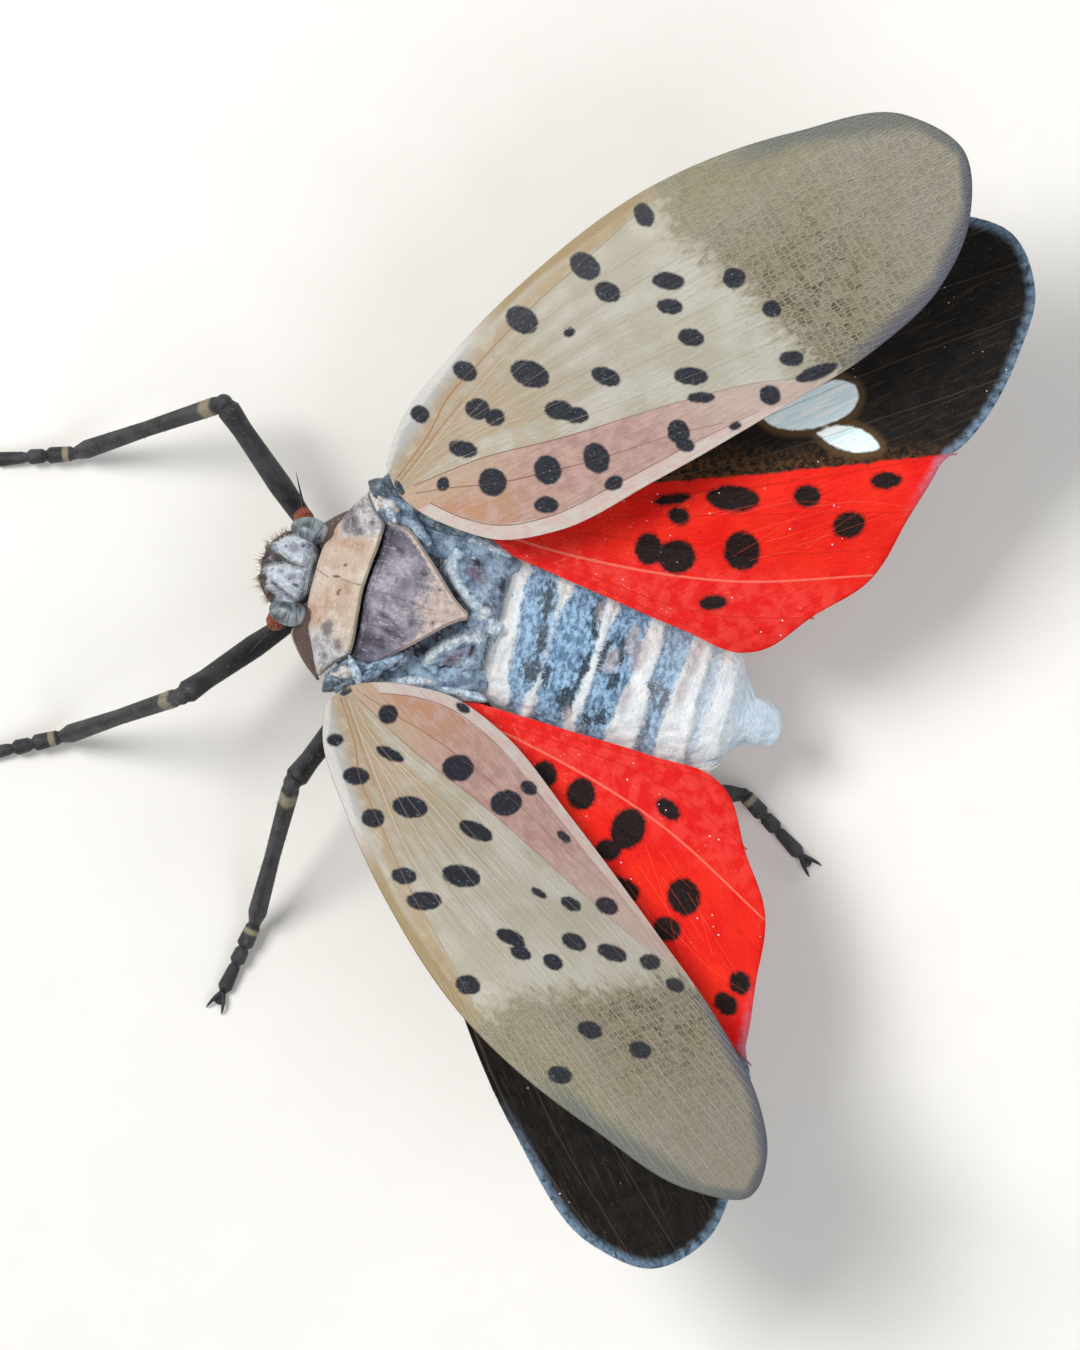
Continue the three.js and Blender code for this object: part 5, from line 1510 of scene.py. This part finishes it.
def eyeMaterial():
    material, tree, shader = newMaterial("compound_eye")
    hue = eye["colours"]
    fine = place(tree)
    facets = cellular(fine, 15.0, 0.25)["Distance"]
    cloud = noise(fine, 2.2, 3)
    colour = painted(
        blend(rise(cloud, 0.35, 0.62), *hue["ground"]),
        (rise(plus(read(tree, "behind"), times(cloud, 0.8)), 0.3, 0.75, 0.8), hue["rear"]),
        (rise(torn(read(tree, "streak"), cloud, 0.9), 0.52, 0.92, 0.75), hue["lines"]),
        (rise(read(tree, "collar"), 0.35, 0.8, 0.9), hue["collar"]),
    )
    finishShader(shader, colour, 0.42, times(facets, -1.0), 0.005)
    shader.inputs["Coat Weight"].default_value = 0.15
    shader.inputs["Coat Roughness"].default_value = 0.35
    return material


# Eye: a ball with dark lines of uneven strength that fan over it and a pale collar at its rear
def eyeDome(side):
    centre = np.array(eye["centre"]) * [1, side, 1]
    dome = ball(centre, eye["half"], 80, 54)
    unit = (dome["points"] - centre) / np.array(eye["half"])
    fan = np.arctan2(unit[:, 0] + 0.1, unit[:, 1] * side + 1.6)
    lines = ripple(np.stack([fan, 0.06 * unit[:, 0]], -1), eye["lineWidth"], 81)
    dome["values"] = {
        "streak": 0.55 + 0.45 * lines + 0.12 * ripple(unit, 0.5, 82),
        "behind": -unit[:, 0],
        "collar": smoothstep(-unit[:, 0], 0.35, 0.85) * smoothstep(unit[:, 2], 0.0, 0.4),
    }
    return dome


waxedHead, eyeLook = zonedMaterial("waxed_head_shell", headLook, headZones), eyeMaterial()
makePiece("head_capsule", headParts(), waxedHead, ["head"])
for sideName, side in sides.items():
    makePiece("eye_dome_" + sideName, eyeDome(side), eyeLook, ["eye_" + sideName])

antenna = {
    "root": (1.75, 1.2, 5.25), "bulbEnd": (1.95, 2.05, 5.0), "tip": (2.5, 3.1, 4.95),
    "bulbRows": [(0, 0.2), (0.2, 0.24), (0.5, 0.33), (0.75, 0.32), (0.92, 0.2), (1, 0.1)],
    "bristleRows": [(0, 0.09), (0.1, 0.05), (0.5, 0.03), (1, 0.008)],
    "colours": {"skin": ((104, 44, 26), (152, 70, 36)), "warts": (156, 86, 52), "bristle": (34, 26, 22)},
}


def feelerMaterial():
    material, tree, shader = newMaterial("orange_feeler_skin")
    hue = antenna["colours"]
    fine = place(tree)
    warts = cellular(fine, 9.0, 0.9)["Distance"]
    colour = painted(
        blend(noise(fine, 4, 3), *hue["skin"]),
        (rise(warts, 0.25, 0.1), hue["warts"]),
        (rise(read(tree, "share"), 0.9, 1.1), hue["bristle"]),
    )
    finishShader(shader, colour, 0.45, times(warts, -1.0), 0.1)
    return material


feelerLook = feelerMaterial()
for sideName, side in sides.items():
    root, end, tip = (np.array(antenna[k]) * [1, side, 1] for k in ("root", "bulbEnd", "tip"))
    knob = limb([root, (root + end) / 2, end], antenna["bulbRows"], 40, 28)
    knob["values"]["share"] = knob["values"]["share"] * 0.5
    bristle = limb([end, end * 0.5 + tip * 0.5 + [0, 0, 0.12], tip], antenna["bristleRows"], 40, 8)
    bristle["values"] = plainValues(bristle, ["share"], share=2.0)
    makePiece("feeler_" + sideName, joined([knob, bristle]), feelerLook, ["antenna_" + sideName])
print("head made")

# Joints of each leg: hip, trochanter, knee, ankle, toe
legJoints = {
    "fore_left": [(0.45, 1.15, 3.7), (1.25, 1.35, 2.65), (4.2, 4.9, 5.5), (8.0, 7.35, 0.62), (10.5, 8.7, 0.12)],
    "fore_right": [(0.45, -1.15, 3.6), (1.35, -1.2, 2.6), (5.4, -4.7, 4.5), (10.0, -1.9, 0.62), (12.6, -1.0, 0.12)],
    "mid_left": [(-1.6, 1.7, 3.3), (-1.7, 2.55, 2.6), (0.0, 6.7, 5.0), (0.15, 11.7, 0.62), (0.6, 14.2, 0.12)],
    "mid_right": [(-1.6, -1.7, 3.3), (-1.9, -2.55, 2.6), (-3.7, -6.8, 4.9), (-7.2, -10.6, 0.62), (-8.8, -12.8, 0.12)],
    "hind_left": [(-3.7, 1.4, 3.2), (-4.4, 2.1, 2.5), (-7.9, 4.9, 3.9), (-14.5, 3.3, 0.62), (-16.9, 4.8, 0.12)],
    "hind_right": [(-3.7, -1.4, 3.2), (-4.4, -2.1, 2.5), (-8.0, -4.9, 4.0), (-14.0, -6.4, 0.62), (-16.4, -7.4, 0.12)],
}
legRows = {
    "hip": [(0, 0.58), (0.5, 0.55), (0.85, 0.42), (1, 0.3)],
    "femur": [(0, 0.22), (0.12, 0.3), (0.4, 0.37), (0.8, 0.32), (0.95, 0.37), (1, 0.24)],
    "tibia": [(0, 0.22), (0.06, 0.28), (0.5, 0.24), (0.92, 0.29), (1, 0.18)],
    "tarsus": [(0, 0.16), (0.04, 0.25), (0.3, 0.28), (0.35, 0.16), (0.39, 0.24), (0.54, 0.26), (0.59, 0.15),
        (0.64, 0.2), (0.93, 0.25), (1, 0.12)],
}
knuckles = {"trochanter": 0.33, "knee": 0.3, "ankle": 0.21}
spines = {"count": 5, "length": 0.55, "radius": 0.09}
claws = {"spread": 0.5, "rows": [(0, 0.1), (0.4, 0.075), (0.8, 0.04), (1, 0.01)], "pad": (0.17, 0.17, 0.1)}


def between(start, end, share):
    return np.array(start) * (1 - share) + np.array(end) * share


# Path from start to end whose middle is lifted
def arched(start, end, lift=(0, 0, 0)):
    return [np.array(start), between(start, end, 0.5) + lift, np.array(end)]


# Leg: four limbs with a round knuckle at each bend; the thigh and shin are slightly four-edged
def legParts(label, joints):
    hip, trochanter, knee, ankle, toe = (np.array(p, float) for p in joints)
    parts = [
        limb(arched(hip, trochanter), legRows["hip"], 24, 24, zone=0.0),
        ball(trochanter, [knuckles["trochanter"]] * 3, 24, 16, zone=0.0),
        limb(arched(trochanter, knee, [0, 0, 0.12]), legRows["femur"], 60, 20, 0.06, zone=1.0),
        ball(knee, [knuckles["knee"]] * 3, 24, 16, zone=1.0),
        limb(arched(knee, ankle, [0, 0, 0.1]), legRows["tibia"], 80, 20, 0.09, zone=2.0),
        ball(ankle, [knuckles["ankle"]] * 3, 20, 12, zone=2.0),
    ]
    foot = limb(arched(ankle, toe), legRows["tarsus"], 70, 18, zone=3.0)
    foot["points"][:, 2] = np.maximum(foot["points"][:, 2], 0.0)
    parts.append(foot)
    if label.startswith("hind"):
        outward = np.sign(knee[1])
        for share in np.linspace(0.28, 0.9, spines["count"]):
            root = between(knee, ankle, share)
            tip = root + [-0.3, outward * spines["length"], 0.15]
            rows = [(0, spines["radius"] * 1.5), (0.4, spines["radius"]), (1, 0.012)]
            parts.append(limb(arched(root, tip, [0.03, 0, 0.02]), rows, 14, 10, zone=2.0))
    return joined(parts)


# Two hooked claws on each foot, and the pad between them
def clawParts():
    parts = []
    for joints in legJoints.values():
        ankle, toe = np.array(joints[3]), np.array(joints[4])
        heading = math.atan2(toe[1] - ankle[1], toe[0] - ankle[0])
        for turn in (-claws["spread"], claws["spread"]):
            way, bent = (np.array([math.cos(heading + t), math.sin(heading + t), 0]) for t in (turn, turn * 0.4))
            bend = toe + way * 0.45
            path = [toe + [0, 0, 0.05], toe + way * 0.3 + [0, 0, 0.12], bend + bent * 0.2 + [0, 0, 0.02],
                    bend + bent * 0.32 + [0, 0, -0.09]]
            parts.append(limb(path, claws["rows"], 24, 12))
        pad = toe + np.array([math.cos(heading), math.sin(heading), 0]) * 0.28
        parts.append(ball(pad + [0, 0, -0.01], claws["pad"], 20, 12))
    return joined(parts)


legColours = {"shell": ((20, 20, 23), (52, 54, 58)), "ring": (150, 138, 112), "dust": (118, 122, 126)}


def legMaterial():
    material, tree, shader = newMaterial("black_leg_shell")
    hue = legColours
    fine = place(tree)
    cloud = noise(fine, 1.6, 4)
    grain = noise(fine, 18, 3, 0.7)
    blots = noise(fine, 6, 4, 0.65)
    ring = rise(unsigned(minus(read(tree, "share"), 0.1)), 0.05, 0.02)  # below the knee and the ankle
    colour = painted(
        blend(rise(cloud, 0.35, 0.7), *hue["shell"]),
        (times(times(ring, rise(read(tree, "zone"), 1.6, 1.9)), 0.7), hue["ring"]),
        (rise(blots, 0.62, 0.7, 0.5), hue["dust"]),
    )
    relief = weighted((blots, 0.5), (grain, 0.6))
    finishShader(shader, colour, plus(0.36, times(blots, 0.25)), relief, 0.05)
    return material


legLook = legMaterial()
for label, joints in legJoints.items():
    nodes = ["leg_" + label + "_" + part for part in ("coxa", "femur", "tibia", "tarsus")]
    makePiece("leg_" + label + "_skin", legParts(label, joints), legLook, nodes)
makePiece("foot_claws", clawParts(), legLook)

beak = {
    "root": (0.5, 0, 2.62), "tip": (-5.2, 0, 2.05),
    "rows": [(0, 0.26), (0.3, 0.24), (0.33, 0.18), (0.36, 0.22), (0.64, 0.2), (0.67, 0.15), (0.7, 0.19), (0.95, 0.15),
        (1, 0.06)],
}
sheath = limb(arched(beak["root"], beak["tip"]), beak["rows"], 90, 20)
makePiece("beak_sheath", sheath, legLook, ["rostrum"])
print("legs made")


patchSize = 0.003  # width of one hair's patch on the map OFBake


# Hairs: three-sided spikes that bend as the square of their length, placed by whole arrays. Each has a small
# patch of the map OFBake at its root's place on the plan given, which runs from 0 to 1
def hairPart(kind, roots, ways, lengths, bend, plan):
    ways = directions(ways)
    side, top = acrossOf(ways, [0.05, 0.03, 1.0])
    step = np.array([0, 0.45, 1.0])[None, :, None]
    centre = roots[:, None] + (ways[:, None] * step + bend[:, None] * step**2) * lengths[:, None, None]
    angle = np.array([0, 2.1, 4.2])
    across = np.cos(angle)[:, None] * side[:, None, None] + np.sin(angle)[:, None] * top[:, None, None]
    points = centre[:, :, None] + across * (hairs[kind]["radius"] * np.array([1, 0.65, 0.08]))[None, :, None, None]
    start = np.arange(len(roots))[:, None] * 9
    quads = np.array([[k + j, k + 3 + j, k + 3 + (j + 1) % 3, k + (j + 1) % 3] for k in (0, 3) for j in range(3)])
    caps = np.array([[0, 1, 2], [8, 7, 6]])
    patch = np.stack(np.meshgrid([0, 0.5, 1], [0, 0.5, 1], indexing="ij"), -1).reshape(9, 2) * patchSize
    return {
        "points": points.reshape(-1, 3),
        "faces": [(start + quads.reshape(1, -1)).reshape(-1, 4), (start + caps.reshape(1, -1)).reshape(-1, 3)],
        "values": {"tip": np.tile(np.repeat([0, 0.45, 1.0], 3), len(roots))},
        "plan": (np.clip(plan, 0.002, 0.995)[:, None] + patch).reshape(-1, 2),
    }


hairColours = {
    "brow": ((96, 66, 46), (188, 158, 126), (70, 48, 38)), "leg": ((26, 25, 26), (92, 88, 84), (46, 44, 44)),
    "fringe": ((96, 120, 146), (206, 222, 236), (150, 172, 194)),
    "root": ((44, 46, 40), (132, 138, 122), (84, 82, 76)), "wax": ((206, 216, 222), (244, 246, 246), (226, 220, 208)),
}


# Colours run from the first at the root to the second at the tip, with some of the third
def hairMaterial(look):
    material, tree, shader = newMaterial(look + "_hair")
    root, tip, other = hairColours[look]
    fine = place(tree)
    grain = noise(fine, 30, 2)
    colour = painted(blend(read(tree, "tip"), root, tip), (rise(noise(fine, 3, 3), 0.5, 0.65, 0.7), other))
    finishShader(shader, colour, plus(0.4, times(grain, 0.25)), grain, 0.01)
    return material


def makeHairs(name, parts, look):
    piece = makePiece(name, joined(parts), hairMaterial(look))
    plan = np.vstack([part["plan"] for part in parts])
    corners = np.empty(len(piece.data.loops), np.int32)
    piece.data.loops.foreach_get("vertex_index", corners)
    layer = piece.data.uv_layers.new(name="OFBake")
    layer.data.foreach_set("uv", plan[corners].astype(np.float32).ravel())


hairs = {
    "brow": {"count": 120, "length": (0.16, 0.38), "radius": 0.014},
    "root": {"count": 110, "length": (0.16, 0.34), "radius": 0.012},
    "shin": {"count": 90, "length": (0.12, 0.24), "radius": 0.011},
    "thigh": {"count": 60, "length": (0.08, 0.16), "radius": 0.01},
    "margin": {"count": 620, "length": (0.05, 0.12), "radius": 0.011},
    "wax": {"count": 700, "length": (0.06, 0.16), "radius": 0.012},
    "thread": {"count": 46, "length": (0.5, 1.25), "radius": 0.018},
}
random = np.random.default_rng(12)


def lengthsOf(kind, count):
    return random.uniform(*hairs[kind]["length"], count)


# Brow: hairs stand out along the front of the crown, where the ball's own shape puts them
def browHairs():
    count = hairs["brow"]["count"]
    angle = random.uniform(-1.25, 1.25, count)
    rising = random.uniform(0.28, 0.52, count)
    unit = np.stack([np.cos(angle) * np.sqrt(1 - rising**2), np.sin(angle) * np.sqrt(1 - rising**2), rising], -1)
    roots = headShape((unit * np.array(head["half"]))[None], unit[None])[0] + np.array(head["centre"])
    ways = np.stack([np.cos(angle), np.sin(angle), rising * 0.3], -1) + random.normal(0, 0.16, (count, 3))
    plan = np.stack([angle / 2.6 + 0.5, rising], -1)
    lengths, bend = lengthsOf("brow", count), random.normal(0, 0.12, (count, 3))
    return hairPart("brow", roots - ways * 0.03, ways, lengths, bend, plan)


# Bristles of a leg: rooted at random places round a limb's path
def limbHairs(kind, start, end, rows, leg):
    count = hairs[kind]["count"]
    path = smoothCurve(arched(start, end, [0, 0, 0.1]), 80)
    way = np.gradient(path, axis=0)
    at = random.integers(4, 78, count)
    way = directions(way[at])
    side, top = acrossOf(way, [0, 0, 1.0])
    turn = random.uniform(0, 2 * math.pi, count)[:, None]
    out = np.cos(turn) * side + np.sin(turn) * top
    roots = path[at] + out * (along(rows, at / 79) - 0.02)[:, None]
    plan = np.stack([(leg + at / 80) / 6, turn[:, 0] / 6.3 * 0.45 + (0.5 if kind == "shin" else 0)], -1)
    return hairPart(kind, roots, out + way * 0.9, lengthsOf(kind, count), -0.2 * out, plan)


def legHairs():
    parts = []
    for leg, joints in enumerate(legJoints.values()):
        trochanter, knee, ankle = joints[1:4]
        parts.append(limbHairs("shin", knee, ankle, legRows["tibia"], leg))
        parts.append(limbHairs("thigh", trochanter, knee, legRows["femur"], leg))
    return parts


# Fringe of the hindwings' outer margin: each hair goes on from the membrane, straight out of its edge
def marginHairs(sideName):
    count = hairs["margin"]["count"]
    edge = smoothCurve(hindwing["margin"], 4000)[np.sort(random.integers(1050, 2350, count))]
    roots = wingPoint(hindwing, sideName, edge[:, 0] * 0.997, edge[:, 1] * 0.997)
    out = wingPoint(hindwing, sideName, edge[:, 0] * 1.02, edge[:, 1] * 1.02) - roots
    ways = directions(out) + random.normal(0, 0.22, (count, 3))
    plan = np.stack([edge[:, 0] / 44 + (0.5 if sideName == "left" else 0), edge[:, 1] / 16 + 0.6], -1)
    lengths, bend = lengthsOf("margin", count), random.normal(0, 0.1, (count, 3))
    return hairPart("margin", roots, ways, lengths, bend, plan)


# Tufts round the wings' roots, on the dark knobs
def rootHairs():
    parts = []
    count = hairs["root"]["count"]
    for sideName in sides:
        for centre, half, turn, finish in knobPlaces(sideName):
            if finish == "mossy" and centre[2] > 6.55:
                unit = directions(random.normal(size=(count // 3, 3)) * [1, 1, 0.6] + [0.2, 0, 0.5])
                roots = centre + unit * min(half) * 0.97
                lengths, bend = lengthsOf("root", len(unit)), random.normal(0, 0.3, unit.shape)
                parts.append(hairPart("root", roots, unit, lengths, bend, roots[:, :2] / 8 + [0.5, 0.5]))
    return parts


# Wax on the abdomen: short tufts along the rear rims of its rings, and one loose thread at its side
def waxHairs(skin):
    points = skin["points"][:-2]
    ring = np.abs(points[:, :1] - np.array(body["rings"][1:6]) - 0.03).min(1)
    chosen = np.flatnonzero((ring < 0.09) & (points[:, 2] > 4.2))
    chosen = random.choice(chosen, hairs["wax"]["count"])
    roots = points[chosen]
    out = np.stack([-1.6 + 0 * roots[:, 0], roots[:, 1] * 0.35, 0.5 + 0 * roots[:, 0]], -1)
    ways = out + random.normal(0, 0.35, out.shape)
    lengths, bend = lengthsOf("wax", len(roots)), random.normal(0, 0.2, out.shape)
    tufts = hairPart("wax", roots - out * 0.01, ways, lengths, bend, roots[:, :2] / 18 + [0.98, 0.5])
    count = hairs["thread"]["count"]
    start, end = (np.r_[fromPhoto(p, h), h] for p, h in (((724, 758), 4.1), ((690, 776), 4.7)))
    roots = start + random.normal(0, 0.07, (count, 3)) * [1, 1, 0.3]
    roots = roots + (end - start) * random.uniform(0, 0.4, count)[:, None]
    ways = np.tile(end - start, (count, 1)) + random.normal(0, 0.12, (count, 3)) * [1, 1, 0.4]
    lengths, bend = lengthsOf("thread", count) * 0.8, random.normal(0, 0.1, (count, 3)) * [1, 1, 0.3]
    thread = hairPart("thread", roots, ways, lengths, bend, roots[:, :2] / 18 + [0.98, 0.6])
    return [tufts, thread]


makeHairs("brow_hairs", [browHairs()], "brow")
makeHairs("leg_bristles", legHairs(), "leg")
makeHairs("wing_fringe", [marginHairs(sideName) for sideName in sides], "fringe")
makeHairs("root_tufts", rootHairs(), "root")
makeHairs("wax_tufts", waxHairs(bodyPart), "wax")
print("hairs made")

aim = (np.array(photoView["aim"]) + origin) * mm
right, up = Vector(photoView["right"]).normalized(), Vector(photoView["up"]).normalized()
towards = right.cross(up)
frameHeight = photoView["height"] / photoView["pixelsPerMm"]
lens = bpy.data.cameras.new("photo_camera")
lens.sensor_width = 36
lens.lens = lens.sensor_width * photoView["distance"] / frameHeight
lens.clip_start = 0.01
lens.clip_end = 10
camera = bpy.data.objects.new("photo_camera", lens)
bpy.context.scene.collection.objects.link(camera)
turned = Matrix((right, up, towards)).transposed().to_4x4()
camera.matrix_world = Matrix.Translation(Vector(aim) + towards * photoView["distance"] * mm) @ turned
bpy.context.scene.camera = camera


studio = {  # place and width in metres, watts and tint of each light; strength and colour of the room
    "lights": {
        "key_light": ((0.15, -0.04, 0.24), 0.11, 0.72, (1.0, 0.985, 0.96)),
        "fill_light": ((-0.16, 0.1, 0.24), 0.22, 0.3, (0.95, 0.975, 1.0)),
        "rim_light": ((-0.2, -0.2, 0.12), 0.1, 0.16, (1, 1, 1)),
    },
    "target": (0, 0, 0.005),
    "room": (0.86, 0.88, 0.9, 1),
    "roomStrength": 0.42,
    "floorReach": 0.6,
}
for name, (where, width, watts, tint) in studio["lights"].items():
    lamp = bpy.data.lights.new(name, "AREA")
    lamp.size, lamp.energy, lamp.color = width, watts, tint
    holder = bpy.data.objects.new(name, lamp)
    bpy.context.scene.collection.objects.link(holder)
    holder.location = where
    holder.rotation_euler = (Vector(studio["target"]) - Vector(where)).to_track_quat("-Z", "Y").to_euler()
world = bpy.data.worlds.new("studio")
world.use_nodes = True
background = world.node_tree.nodes["Background"]
background.inputs[0].default_value = studio["room"]
background.inputs[1].default_value = studio["roomStrength"]
bpy.context.scene.world = world
bpy.context.scene.view_settings.view_transform = "Standard"

floorMaterial, floorTree, floorShader = newMaterial("pale_floor")
floorGrain = noise(place(floorTree), 0.35, 3)
floorColour = blend(floorGrain, (226, 224, 219), (232, 230, 226))
finishShader(floorShader, floorColour, 0.85, floorGrain, 0.02)
floorMesh = bpy.data.meshes.new("floor")
reach = studio["floorReach"]
corners = [(-reach, -reach, 0), (reach, -reach, 0), (reach, reach, 0), (-reach, reach, 0)]
floorMesh.from_pydata(corners, [], [(0, 1, 2, 3)])
floorMesh.materials.append(floorMaterial)
floor = bpy.data.objects.new("floor", floorMesh)
bpy.context.scene.collection.objects.link(floor)
floor.location.z = -0.00002  # just under the feet
